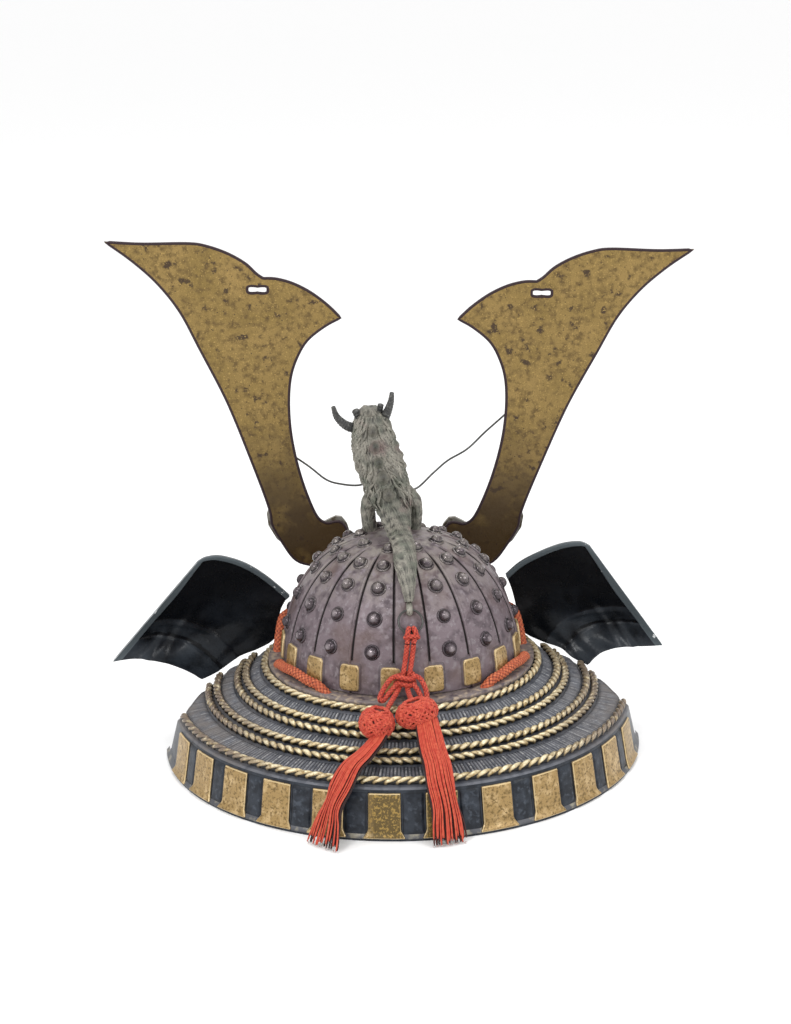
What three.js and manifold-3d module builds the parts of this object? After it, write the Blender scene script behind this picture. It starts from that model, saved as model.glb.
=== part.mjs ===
import * as THREE from "three";
import { mergeVertices } from "three/addons/utils/BufferGeometryUtils.js";
import Module from "manifold-3d";

// A cast ornamental kabuto helmet that stands on the rim of its neck guard.
// Millimetres, +Z up. The back of the helmet faces -Y and the visor faces +Y.
// Azimuths are degrees about the axis of the bowl, from the back towards +X.

const wasm = await Module();
wasm.setup();

// Sizes of the whole helmet
const GAP = 0.3; // between pieces that touch
const CASTING_WALL = 3;
const LEDGE_HEIGHT = 38.6; // top of the ledge that carries the bowl
const BOWL_RADIUS = 49.3;
const BOWL_RISE = 52.2;
const RIM_RADIUS = 100;

// Sizes of the bowl
const BOWL_TURN = 3; // degrees that the bowl is turned on its ledge
const BOWL_ROUND_UP = 1.88; // exponents of the superellipse of its profile
const BOWL_ROUND_OUT = 2.63;
const CENTRE_PLATE_HALF_ANGLE = 8;
const CENTRE_PLATE_LIFT = 1;
const PLATE_ANGLE = 22.5;
const SEAM_HALF_ANGLE = 1.2;
const SEAM_LIFT = 0.7;
const RIVET_RADIUS = 3;
const RIVET_HEIGHT = 2;
const BASE_PAD_COUNT = 18;
const BASE_PAD_ANGLE = 10;
const BASE_PAD_HEIGHT = 10.2;
const BASE_PAD_LIFT = 0.9;

// Sizes of the neck guard
const GUARD_SWEEP = 113; // degrees to each side of the back, at the ledge
const GUARD_STEP_ANGLE = 9;
const ROPE_STRAND = 3.4; // width of one twisted strand
const STRAND_DROP = 2.2; // from one strand of a pair down to the next
const TIER_STEP = 1.6;
const LAME_TOP = 19.2;
const RIM_PAD_SPACING = 13; // degrees between the blocks at the back
const RIM_PAD_CLOSING = 0.93; // share of that spacing round the sides
const RIM_PAD_ANGLE = 7.6;
const RIM_PAD_LIFT = 0.9;
const SLOT_WIDTH = 4.7;
const SLOT_ANGLE = 15;

// Sizes of the visor, wings, crest and its mount
const VISOR_REACH = 80;
const VISOR_DROP = 8;
const VISOR_HALF_ANGLE = 55;
const VISOR_WALL = 2.4;
const WING_REACH = 121.5;
const WING_HEIGHT = 79.2;
const WING_SHEET = 1.5;
const WING_BORDER = 0.9;
const WING_FOLD = 0.5;
const WING_HOLLOW = 5;
const CREST_SPAN = 124.7; // half the width between the horn tips
const CREST_BASE = 60;
const CREST_RISE = 141.6;
const CREST_ROLL = 2.2; // degrees that the crest leans
const CREST_SHEET = 1.6;
const CREST_HOLE_LENGTH = 9;
const CREST_HOLE_WIDTH = 4.4;
const MOUNT_SHEET = 2;
const MOUNT_FOOT = 22;

// Sizes of the dragon, the tail ring and the cords
const DRAGON_RISE = 52;
const DRAGON_LEAN = 10;
const DRAGON_DEPTH = 40;
const TAIL_LENGTH = 16.5; // how far the tail comes down the bowl
const WHISKER_WIRE = 1;
const RING_DIAMETER = 9.6;
const RING_WIRE = 0.9;
const RING_TILT = 35;
const LUG_WIDTH = 2;
const CORD_DIAMETER = 2.2;
const CHIN_CORD_DIAMETER = 4;
const SKIRT_THICKNESS = 3;

// Solids from points and triangles

function solidFrom(positions, index) {
  const make = (triangles) =>
    new wasm.Manifold(
      new wasm.Mesh({
        numProp: 3,
        vertProperties: new Float32Array(positions),
        triVerts: new Uint32Array(triangles),
      }),
    );
  const solid = make(index);
  if (solid.volume() > 0) return solid;
  return make([...index].reverse());
}

function solidOf(geometry) {
  geometry.deleteAttribute("normal");
  geometry.deleteAttribute("uv");
  const merged = mergeVertices(geometry, 1e-4);
  return solidFrom(merged.attributes.position.array, merged.index.array);
}

function geometryOf(solid) {
  const mesh = solid.getMesh();
  const geometry = new THREE.BufferGeometry();
  geometry.setAttribute("position", new THREE.BufferAttribute(mesh.vertProperties, 3));
  geometry.setIndex(new THREE.BufferAttribute(mesh.triVerts, 1));
  return geometry;
}

function fuse(solids) {
  return solids.reduce((whole, next) => whole.add(next));
}

function cut(solid, tools) {
  return tools.reduce((rest, tool) => rest.subtract(tool), solid);
}

// Triangles that close a convex ring of count points
function fanCap(count) {
  return Array.from({ length: count - 2 }, (_, i) => [0, i + 1, i + 2]);
}

// Triangles that close a ring made of one row of points and the same row back
function sheetCap(count) {
  const triangles = [];
  for (let i = 0; i < count / 2 - 1; i++) {
    triangles.push([i, i + 1, count - 2 - i], [i, count - 2 - i, count - 1 - i]);
  }
  return triangles;
}

// Triangles that close any flat outline, turned the way the outline runs
function outlineCap(outline) {
  const triangles = THREE.ShapeUtils.triangulateShape(outline, []);
  const [a, b, c] = triangles[0].map((i) => outline[i]);
  const turn = (b.x - a.x) * (c.y - a.y) - (b.y - a.y) * (c.x - a.x);
  const same = turn > 0 === THREE.ShapeUtils.area(outline) > 0;
  return same ? triangles : triangles.map((triangle) => triangle.slice().reverse());
}

// A body through rings of equally many points, with caps or joined end to end
function loft(rings, cap) {
  const count = rings[0].length;
  const positions = rings.flat().flatMap((point) => [point.x, point.y, point.z]);
  const index = [];
  const spans = cap ? rings.length - 1 : rings.length;
  for (let r = 0; r < spans; r++) {
    const here = r * count;
    const there = ((r + 1) % rings.length) * count;
    for (let i = 0; i < count; i++) {
      const next = (i + 1) % count;
      index.push(here + i, here + next, there + next);
      index.push(here + i, there + next, there + i);
    }
  }
  const last = (rings.length - 1) * count;
  for (const [a, b, c] of cap ?? []) {
    index.push(c, b, a);
    index.push(last + a, last + b, last + c);
  }
  return solidFrom(positions, index);
}

function polar(azimuth, radius, height) {
  const angle = THREE.MathUtils.degToRad(azimuth);
  return new THREE.Vector3(radius * Math.sin(angle), -radius * Math.cos(angle), height);
}

// A flat section of radius and height carried round the axis
function sweep(section, start, end, steps) {
  const rings = [];
  for (let i = 0; i <= steps; i++) {
    const azimuth = start + ((end - start) * i) / steps;
    rings.push(section.map((point) => polar(azimuth, point.x, point.y)));
  }
  if (end - start < 360) return loft(rings, outlineCap(section));
  rings.pop();
  return loft(rings);
}

// A round or flattened limb along a smooth line; each row gives a place and half sizes
function limb(rows, sides, steps, across, closed = false) {
  const line = new THREE.CatmullRomCurve3(rows.map((row) => row.at), closed);
  const last = closed ? rows.length : rows.length - 1;
  const rings = [];
  for (let i = 0; i <= steps; i++) {
    const t = i / steps;
    const whole = Math.min(Math.floor(t * last), last - 1);
    const part = t * last - whole;
    const next = rows[(whole + 1) % rows.length];
    const wide = THREE.MathUtils.lerp(rows[whole].wide, next.wide, part);
    const deep = THREE.MathUtils.lerp(rows[whole].deep, next.deep, part);
    const centre = line.getPoint(t);
    const along = line.getTangent(t);
    const side = across.clone().addScaledVector(along, -across.dot(along)).normalize();
    const up = along.clone().cross(side);
    const ring = [];
    for (let k = 0; k < sides; k++) {
      const turn = ((k + 0.5) / sides) * 2 * Math.PI;
      const point = centre.clone().addScaledVector(side, wide * Math.cos(turn));
      ring.push(point.addScaledVector(up, deep * Math.sin(turn)));
    }
    rings.push(ring);
  }
  if (!closed) return loft(rings, fanCap(sides));
  rings.pop();
  return loft(rings);
}

function rowsOf(points, radius) {
  return points.map((point) => ({ at: point, wide: radius, deep: radius }));
}

const ACROSS = new THREE.Vector3(1, 0, 0);
const UPRIGHT = new THREE.Vector3(0, 0, 1);

// The tube of a cord along its points
function cordTube(points, diameter, steps) {
  const section = new THREE.Shape();
  const sides = 8;
  for (let i = 0; i < sides; i++) {
    const turn = (i / sides) * 2 * Math.PI;
    const x = (diameter / 2) * Math.cos(turn);
    const y = (diameter / 2) * Math.sin(turn);
    if (i === 0) section.moveTo(x, y);
    else section.lineTo(x, y);
  }
  section.closePath();
  const extrudePath = new THREE.CatmullRomCurve3(points);
  return solidOf(new THREE.ExtrudeGeometry(section, { steps, extrudePath }));
}

// Bowl

const BOWL_BASE = LEDGE_HEIGHT + GAP;
const BOWL_TOP = BOWL_BASE + BOWL_RISE;
const BOWL_ROWS = [0, 0.24, 0.46, 0.66, 0.81, 0.92, 0.985]; // shares of the rise
const BOWL_INSIDE_ROWS = [0, 0.35, 0.65, 0.85, 0.96];
const RIVET_ROWS = [0.328, 0.564, 0.763, 0.893, 0.97];
const RIVET_COLUMNS = 7; // on each side
const BOWL_INSIDE_SIDES = 20;

// Radius of the bowl at a share of its rise
function bowlRadius(share) {
  const fall = Math.max(0, 1 - Math.pow(share, BOWL_ROUND_UP));
  return BOWL_RADIUS * Math.pow(fall, 1 / BOWL_ROUND_OUT);
}

function bowlShare(height) {
  return THREE.MathUtils.clamp((height - BOWL_BASE) / BOWL_RISE, 0, 1);
}

// Azimuths round the bowl with the lift of the plates and seams at each
function bowlRelief() {
  const half = [{ azimuth: 0, lift: CENTRE_PLATE_LIFT }];
  half.push({ azimuth: CENTRE_PLATE_HALF_ANGLE, lift: CENTRE_PLATE_LIFT });
  half.push({ azimuth: CENTRE_PLATE_HALF_ANGLE + SEAM_HALF_ANGLE, lift: 0 });
  const seams = Math.floor((180 - CENTRE_PLATE_HALF_ANGLE) / PLATE_ANGLE);
  for (let k = 1; k <= seams; k++) {
    const seam = CENTRE_PLATE_HALF_ANGLE + k * PLATE_ANGLE;
    half.push({ azimuth: seam - PLATE_ANGLE / 2, lift: 0 });
    half.push({ azimuth: seam - SEAM_HALF_ANGLE, lift: 0 });
    half.push({ azimuth: seam, lift: k < seams ? SEAM_LIFT : CENTRE_PLATE_LIFT });
    if (k < seams) half.push({ azimuth: seam + SEAM_HALF_ANGLE, lift: 0 });
  }
  const other = half.slice(1).map(({ azimuth, lift }) => ({ azimuth: -azimuth, lift }));
  return [...other.reverse(), ...half, { azimuth: 180, lift: CENTRE_PLATE_LIFT }];
}

// A point on the skin of the bowl, moved outwards by lift
function onBowl(azimuth, share, lift) {
  const step = 0.01;
  const low = Math.max(0, share - step);
  const high = Math.min(1, share + step);
  const rise = (high - low) * BOWL_RISE;
  const inward = bowlRadius(low) - bowlRadius(high);
  const length = Math.hypot(rise, inward);
  const radius = bowlRadius(share) + (lift * rise) / length;
  return polar(azimuth, radius, BOWL_BASE + share * BOWL_RISE + (lift * inward) / length);
}

function bowlRivet(azimuth, share, grow) {
  const centre = onBowl(azimuth, share, 0);
  const out = onBowl(azimuth, share, 1).sub(centre);
  const levels = [
    { lift: -0.5 * RIVET_HEIGHT, radius: RIVET_RADIUS + grow },
    { lift: RIVET_HEIGHT + grow, radius: 0.6 * RIVET_RADIUS + grow },
  ];
  const rows = levels.map(({ lift, radius }) => ({
    at: centre.clone().addScaledVector(out, lift),
    wide: radius,
    deep: radius,
  }));
  return limb(rows, 5, 1, polar(azimuth + 90, 1, 0));
}

// The rivets of the bowl on the rows asked for
function bowlRivets(shares, grow) {
  const rivets = [];
  for (let column = 0; column < RIVET_COLUMNS; column++) {
    const azimuth = CENTRE_PLATE_HALF_ANGLE + (column + 0.5) * PLATE_ANGLE;
    for (const share of shares) {
      if (share === RIVET_ROWS.at(-1) && column % 2) continue;
      rivets.push(bowlRivet(azimuth, share, grow), bowlRivet(-azimuth, share, grow));
    }
  }
  return rivets;
}

// The outside of the bowl, grown where it is used to cut a seat in its neighbour
function bowlSkin(grow) {
  const relief = bowlRelief();
  const rings = BOWL_ROWS.map((share) => {
    const fade = Math.min(1, 4 * (1 - share));
    return relief.map(({ azimuth, lift }) => onBowl(azimuth, share, fade * lift + grow));
  });
  return loft(rings, fanCap(relief.length));
}

function bowlCavity() {
  const wallShare = 1 - CASTING_WALL / BOWL_RISE;
  const base = { x: 0, y: BOWL_BASE - CASTING_WALL };
  const profile = BOWL_INSIDE_ROWS.map((share) => {
    const height = BOWL_BASE + share * wallShare * BOWL_RISE;
    return new THREE.Vector2(bowlRadius(share) - CASTING_WALL, height);
  });
  const foot = new THREE.Vector2(profile[0].x, base.y);
  const top = new THREE.Vector2(0, BOWL_TOP - CASTING_WALL);
  const points = [new THREE.Vector2(base.x, base.y), foot, ...profile, top];
  const lathe = new THREE.LatheGeometry(points, BOWL_INSIDE_SIDES);
  lathe.rotateX(Math.PI / 2);
  return solidOf(lathe);
}

// The plates at the foot of the bowl, each a shallow block on its skin
function bowlPads() {
  const pads = [];
  const low = 0.04 * BASE_PAD_HEIGHT;
  for (let i = 0; i < BASE_PAD_COUNT; i++) {
    const middle = ((i + 0.5) * 360) / BASE_PAD_COUNT;
    const rings = [-0.5, 0.5].map((side) => {
      const azimuth = middle + side * BASE_PAD_ANGLE;
      const foot = low / BOWL_RISE;
      const head = (low + BASE_PAD_HEIGHT) / BOWL_RISE;
      return [
        onBowl(azimuth, foot, -BASE_PAD_LIFT),
        onBowl(azimuth, foot, BASE_PAD_LIFT),
        onBowl(azimuth, head, BASE_PAD_LIFT),
        onBowl(azimuth, head, -BASE_PAD_LIFT),
      ];
    });
    pads.push(loft(rings, fanCap(4)));
  }
  return pads;
}

// The lug at the back of the bowl, bored for the tail ring
const RING_TOP_SHARE = 0.62;
const RING_STANDOFF = CENTRE_PLATE_LIFT + 1.6;
const RING_TOP = onBowl(0, RING_TOP_SHARE, RING_STANDOFF);
const RING_HANG = new THREE.Vector3(
  0,
  -Math.sin(THREE.MathUtils.degToRad(RING_TILT)),
  -Math.cos(THREE.MathUtils.degToRad(RING_TILT)),
);
const RING_CENTRE = RING_TOP.clone().addScaledVector(RING_HANG, RING_DIAMETER / 2);

function bowlLug() {
  const bore = RING_WIRE / 2 + GAP;
  const half = bore + 1.1;
  const block = new THREE.BoxGeometry(LUG_WIDTH, RING_STANDOFF + 2 * half, 2 * half);
  block.translate(0, RING_TOP.y + RING_STANDOFF / 2, RING_TOP.z);
  const pin = new THREE.CylinderGeometry(bore, bore, 3 * LUG_WIDTH, 10);
  pin.rotateZ(Math.PI / 2);
  pin.translate(0, RING_TOP.y, RING_TOP.z);
  return solidOf(block).subtract(solidOf(pin));
}

function makeBowl() {
  const shell = fuse([bowlSkin(0), ...bowlRivets(RIVET_ROWS, 0), ...bowlPads()]);
  return shell.subtract(bowlCavity()).add(bowlLug());
}

// Neck guard

// Rope rows: out is a share of the way from the bowl to the rim, up a share of the ledge height
const ROPE_ROWS = [
  { out: 0.16, up: 0.922, strands: 1 },
  { out: 0.351, up: 0.822, strands: 2 },
  { out: 0.594, up: 0.69, strands: 2 },
  { out: 0.872, up: 0.56, strands: 1 },
];
const CREST = 0.55; // height of a strand as a share of its width

// How far round the neck guard goes, as a share of its sweep, from the bowl out to the rim
const GUARD_ENDS = [
  { out: 0.21, sweep: 1 },
  { out: 0.33, sweep: 0.973 },
  { out: 0.47, sweep: 0.929 },
  { out: 0.585, sweep: 0.872 },
  { out: 0.704, sweep: 0.796 },
  { out: 0.783, sweep: 0.73 },
  { out: 0.86, sweep: 0.69 },
  { out: 0.91, sweep: 0.69 },
  { out: 1, sweep: 0.76 },
];

function guardRadius(out) {
  return BOWL_RADIUS + out * (RIM_RADIUS - BOWL_RADIUS);
}

function guardEnd(radius) {
  const out = (radius - BOWL_RADIUS) / (RIM_RADIUS - BOWL_RADIUS);
  const next = GUARD_ENDS.findIndex((row) => row.out > out);
  if (next === 0) return GUARD_SWEEP;
  if (next < 0) return GUARD_ENDS.at(-1).sweep * GUARD_SWEEP;
  const from = GUARD_ENDS[next - 1];
  const to = GUARD_ENDS[next];
  const share = (out - from.out) / (to.out - from.out);
  return THREE.MathUtils.lerp(from.sweep, to.sweep, share) * GUARD_SWEEP;
}

// The outside of the neck guard from the ledge to the rim
function guardOutside() {
  const points = [];
  for (const { out, up, strands } of ROPE_ROWS) {
    const middle = guardRadius(out);
    const foot = up * LEDGE_HEIGHT;
    const width = strands * ROPE_STRAND;
    points.push(new THREE.Vector2(middle - width / 2, foot));
    for (let s = 0; s < strands; s++) {
      const start = middle - width / 2 + s * ROPE_STRAND;
      const drop = STRAND_DROP * s;
      const crest = foot + CREST * ROPE_STRAND - drop;
      points.push(new THREE.Vector2(start + 0.5 * ROPE_STRAND, crest));
      const fall = s === strands - 1 ? TIER_STEP : STRAND_DROP;
      points.push(new THREE.Vector2(start + ROPE_STRAND, foot - drop - fall));
    }
  }
  points.push(new THREE.Vector2(RIM_RADIUS - 4.3, LAME_TOP));
  points.push(new THREE.Vector2(RIM_RADIUS - 1.8, 0.22 * LAME_TOP));
  points.push(new THREE.Vector2(RIM_RADIUS, 0.07 * LAME_TOP));
  points.push(new THREE.Vector2(RIM_RADIUS, 0));
  return points;
}

// The inside, one wall below the outside
function guardInside() {
  const points = [new THREE.Vector2(RIM_RADIUS - 1.3 * CASTING_WALL, 0)];
  points.push(new THREE.Vector2(RIM_RADIUS - 2.3 * CASTING_WALL, LAME_TOP - 0.8 * CASTING_WALL));
  for (const { out, up, strands } of ROPE_ROWS.slice(0, -1).reverse()) {
    const drop = TIER_STEP + (STRAND_DROP / 2) * (strands - 1);
    points.push(new THREE.Vector2(guardRadius(out), up * LEDGE_HEIGHT - drop - CASTING_WALL));
  }
  return points;
}

const LEDGE_INSIDE = BOWL_RADIUS - CASTING_WALL - 1;
const LEDGE_OUTSIDE = guardRadius(ROPE_ROWS[0].out) - ROPE_STRAND / 2;
const CHIN_RADIUS = BOWL_RADIUS + BASE_PAD_LIFT + GAP + CHIN_CORD_DIAMETER / 2;

// Azimuths where the chin cord goes through the ledge
const SLOT_AZIMUTHS = [36, 80, 98];

function ledgeSection() {
  const top = LEDGE_HEIGHT;
  const under = LEDGE_HEIGHT - CASTING_WALL;
  return [
    new THREE.Vector2(LEDGE_INSIDE, under),
    new THREE.Vector2(LEDGE_OUTSIDE, under),
    new THREE.Vector2(LEDGE_OUTSIDE, top),
    new THREE.Vector2(LEDGE_INSIDE, top),
  ];
}

// A gilt block on the lame, with a foot that flares out to the rim
function lameBlock(middle) {
  const sink = 1;
  const top = 0.94 * LAME_TOP;
  const low = 0.2 * LAME_TOP;
  const upper = RIM_RADIUS - 4.2;
  const lower = RIM_RADIUS - 1.8;
  const section = [
    new THREE.Vector2(upper - sink, top),
    new THREE.Vector2(upper + RIM_PAD_LIFT, top),
    new THREE.Vector2(lower + RIM_PAD_LIFT, low),
    new THREE.Vector2(RIM_RADIUS, 0.08 * LAME_TOP),
    new THREE.Vector2(lower - sink, 0.06 * LAME_TOP),
  ];
  return sweep(section, middle - RIM_PAD_ANGLE / 2, middle + RIM_PAD_ANGLE / 2, 1);
}

// Azimuth of a block, evenly spaced round the back and closer together round the sides
function lameBlockAzimuth(number) {
  const even = (number + 0.5) * RIM_PAD_SPACING;
  const side = 2.7 * RIM_PAD_SPACING;
  return even < side ? even : side + RIM_PAD_CLOSING * (even - side);
}

function lameBlocks() {
  const blocks = [];
  const last = guardEnd(RIM_RADIUS - 4.2) - RIM_PAD_ANGLE / 2;
  for (let k = 0; lameBlockAzimuth(k) < last; k++) {
    blocks.push(lameBlock(lameBlockAzimuth(k)), lameBlock(-lameBlockAzimuth(k)));
  }
  return blocks;
}

function ledgeSlots() {
  const section = [
    [CHIN_RADIUS - SLOT_WIDTH / 2, LEDGE_HEIGHT - 3 * CASTING_WALL],
    [CHIN_RADIUS + SLOT_WIDTH / 2, LEDGE_HEIGHT - 3 * CASTING_WALL],
    [CHIN_RADIUS + SLOT_WIDTH / 2, LEDGE_HEIGHT + CASTING_WALL],
    [CHIN_RADIUS - SLOT_WIDTH / 2, LEDGE_HEIGHT + CASTING_WALL],
  ].map(([radius, height]) => new THREE.Vector2(radius, height));
  const slots = [];
  for (const azimuth of SLOT_AZIMUTHS) {
    for (const side of [-1, 1]) {
      const middle = side * azimuth;
      slots.push(sweep(section, middle - SLOT_ANGLE / 2, middle + SLOT_ANGLE / 2, 2));
    }
  }
  return slots;
}

function makeNeckGuard() {
  const ledge = sweep(ledgeSection(), 0, 360, 360 / GUARD_STEP_ANGLE);
  const inner = new THREE.Vector2(LEDGE_OUTSIDE - 1, LEDGE_HEIGHT - CASTING_WALL);
  const edge = new THREE.Vector2(LEDGE_OUTSIDE - 1, LEDGE_HEIGHT);
  const section = [edge, ...guardOutside(), ...guardInside(), inner];
  const half = Math.round(GUARD_SWEEP / GUARD_STEP_ANGLE);
  const rings = [];
  for (let i = -half; i <= half; i++) {
    rings.push(section.map(({ x, y }) => polar((i / half) * guardEnd(x), x, y)));
  }
  const flare = loft(rings, outlineCap(section));
  return cut(fuse([ledge, flare, ...lameBlocks()]), ledgeSlots());
}

// Visor

const VISOR_SEAT = LEDGE_HEIGHT + GAP;
const VISOR_INSIDE = BOWL_RADIUS + BASE_PAD_LIFT + GAP;

// Radius of the visor's edge at an angle from the front
function visorEdge(angle) {
  const share = Math.cos((angle / VISOR_HALF_ANGLE) * (Math.PI / 2));
  const narrow = LEDGE_OUTSIDE + 3;
  return narrow + (VISOR_REACH - narrow) * Math.pow(Math.max(0, share), 0.75);
}

// Height of the visor's top along the middle of the front
function visorTop(radius) {
  const share = (radius - LEDGE_OUTSIDE) / (VISOR_REACH - LEDGE_OUTSIDE);
  return VISOR_SEAT + VISOR_WALL - VISOR_DROP * Math.max(0, share);
}

function makeVisor() {
  const rings = [];
  const steps = 14;
  for (let i = 0; i <= steps; i++) {
    const angle = VISOR_HALF_ANGLE * ((2 * i) / steps - 1);
    const edge = visorEdge(angle);
    const drop = (VISOR_DROP * (edge - LEDGE_OUTSIDE)) / (VISOR_REACH - LEDGE_OUTSIDE);
    const lip = 0.5 * VISOR_WALL;
    const section = [
      [VISOR_INSIDE, VISOR_SEAT],
      [LEDGE_OUTSIDE, VISOR_SEAT],
      [edge, VISOR_SEAT - drop],
      [edge, VISOR_SEAT - drop + VISOR_WALL + lip],
      [edge - VISOR_WALL, VISOR_SEAT - drop + VISOR_WALL + lip],
      [edge - 1.5 * VISOR_WALL, VISOR_SEAT + VISOR_WALL - 0.85 * drop],
      [LEDGE_OUTSIDE, VISOR_SEAT + VISOR_WALL],
      [VISOR_INSIDE, VISOR_SEAT + VISOR_WALL],
    ];
    rings.push(section.map(([radius, height]) => polar(180 + angle, radius, height)));
  }
  const section = rings[0].map((point) => {
    return new THREE.Vector2(Math.hypot(point.x, point.y), point.z);
  });
  return loft(rings, outlineCap(section));
}

// Wings, the ends of the neck guard turned back

// Edges of each wing. Root rows: out and up as for the rope rows, past is the angle beyond the
// end of the neck guard. The other rows are shares of the wing's reach, reach and height.
const WING_LEFT = {
  side: -1,
  root: [
    { out: 0.692, up: 0.728, past: 3 },
    { out: 0.586, up: 0.72, past: 3 },
    { out: 0.467, up: 0.8, past: 3 },
    { out: 0.33, up: 0.86, past: 2.6 },
    { out: 0.211, up: 0.96, past: 2.6 },
    { out: 0.16, up: 1.12, past: 2.6 },
    { out: 0.14, up: 1.3, past: 2.8 },
    { out: 0.093, up: 1.43, past: 3 },
    { out: 0.05, up: 1.495, past: 3.3 },
  ],
  foot: [
    { reach: 0.745, ahead: 0.066, up: 0.391 },
    { reach: 0.815, ahead: 0.091, up: 0.423 },
    { reach: 0.918, ahead: 0.082, up: 0.462 },
  ],
  tip: { reach: 1, ahead: 0.066, up: 0.459 },
  crest: [
    { reach: 0.458, ahead: 0.173, up: 0.847 },
    { reach: 0.532, ahead: 0.148, up: 0.939 },
    { reach: 0.613, ahead: 0.128, up: 0.993 },
    { reach: 0.665, ahead: 0.119, up: 0.994 },
  ],
  corner: { reach: 0.696, ahead: 0.115, up: 0.972 },
};
const WING_RIGHT = {
  side: 1,
  root: [
    { out: 0.631, up: 0.68, past: 3.6 },
    { out: 0.54, up: 0.72, past: 2.4 },
    { out: 0.467, up: 0.8, past: 2.1 },
    { out: 0.33, up: 0.86, past: 1.9 },
    { out: 0.211, up: 0.96, past: 1.9 },
    { out: 0.16, up: 1.12, past: 1.9 },
    { out: 0.14, up: 1.3, past: 2.8 },
    { out: 0.1, up: 1.5, past: 3 },
    { out: 0.05, up: 1.66, past: 3.3 },
  ],
  foot: [
    { reach: 0.713, ahead: 0.107, up: 0.397 },
    { reach: 0.777, ahead: 0.099, up: 0.428 },
    { reach: 0.857, ahead: 0.082, up: 0.44 },
  ],
  tip: { reach: 0.921, ahead: 0.066, up: 0.451 },
  crest: [
    { reach: 0.432, ahead: 0.173, up: 0.885 },
    { reach: 0.503, ahead: 0.148, up: 0.955 },
    { reach: 0.574, ahead: 0.128, up: 1.004 },
    { reach: 0.636, ahead: 0.119, up: 1.016 },
  ],
  corner: { reach: 0.671, ahead: 0.115, up: 0.994 },
};
const WING_COLUMNS = [0, 0.16, 0.34, 0.52, 0.7, 0.82, 0.9, 0.92, 1];
const WING_LEVELS = [0, 0.19, 0.21, 0.36, 0.38, 0.6, 0.8, 0.955, 0.975, 1];

function wingPoint({ reach, ahead, up }) {
  return new THREE.Vector3(reach * WING_REACH, ahead * WING_REACH, up * WING_HEIGHT);
}

function wingEdges(wing) {
  const root = wing.root.map(({ out, up, past }) => {
    const radius = guardRadius(out);
    return polar(guardEnd(radius) + past, radius, up * LEDGE_HEIGHT);
  });
  const tip = wingPoint(wing.tip);
  const corner = wingPoint(wing.corner);
  const foot = [root[0], ...wing.foot.map(wingPoint), tip];
  const crest = [root.at(-1), ...wing.crest.map(wingPoint), corner];
  return {
    root: new THREE.CatmullRomCurve3(root),
    foot: new THREE.CatmullRomCurve3(foot),
    crest: new THREE.CatmullRomCurve3(crest),
    outer: new THREE.LineCurve3(tip, corner),
  };
}

// A point of the sheet between its four edges, hollowed towards the back
function wingSurface(edges, s, t) {
  const blend = new THREE.Vector3();
  blend.addScaledVector(edges.foot.getPointAt(s), 1 - t);
  blend.addScaledVector(edges.crest.getPointAt(s), t);
  blend.addScaledVector(edges.root.getPointAt(t), 1 - s);
  blend.addScaledVector(edges.outer.getPointAt(t), s);
  blend.addScaledVector(edges.foot.getPointAt(0), -(1 - s) * (1 - t));
  blend.addScaledVector(edges.foot.getPointAt(1), -s * (1 - t));
  blend.addScaledVector(edges.crest.getPointAt(0), -(1 - s) * t);
  blend.addScaledVector(edges.crest.getPointAt(1), -s * t);
  blend.y += WING_HOLLOW * 16 * s * (1 - s) * t * (1 - t) * (1 - 0.4 * t);
  return blend;
}

function wingThickness(s, t) {
  const border = s > 0.91 || t > 0.97 ? WING_BORDER : 0;
  const folds = t < 0.2 ? 2 : t < 0.37 ? 1 : 0;
  return { back: WING_SHEET / 2 + border + folds * WING_FOLD, front: WING_SHEET / 2 + border };
}

function makeWing(wing) {
  const edges = wingEdges(wing);
  const rings = WING_COLUMNS.map((s) => {
    const back = [];
    const front = [];
    for (const t of WING_LEVELS) {
      const middle = wingSurface(edges, s, t);
      const { back: behind, front: ahead } = wingThickness(s, t);
      back.push(middle.clone().add(new THREE.Vector3(0, -behind, 0)));
      front.push(middle.clone().add(new THREE.Vector3(0, ahead, 0)));
    }
    const ring = [...back, ...front.reverse()];
    return ring.map((point) => new THREE.Vector3(wing.side * point.x, point.y, point.z));
  });
  return loft(rings, sheetCap(2 * WING_LEVELS.length));
}

// Crest: one sheet with both horns, on a mount that stands on the visor

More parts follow.
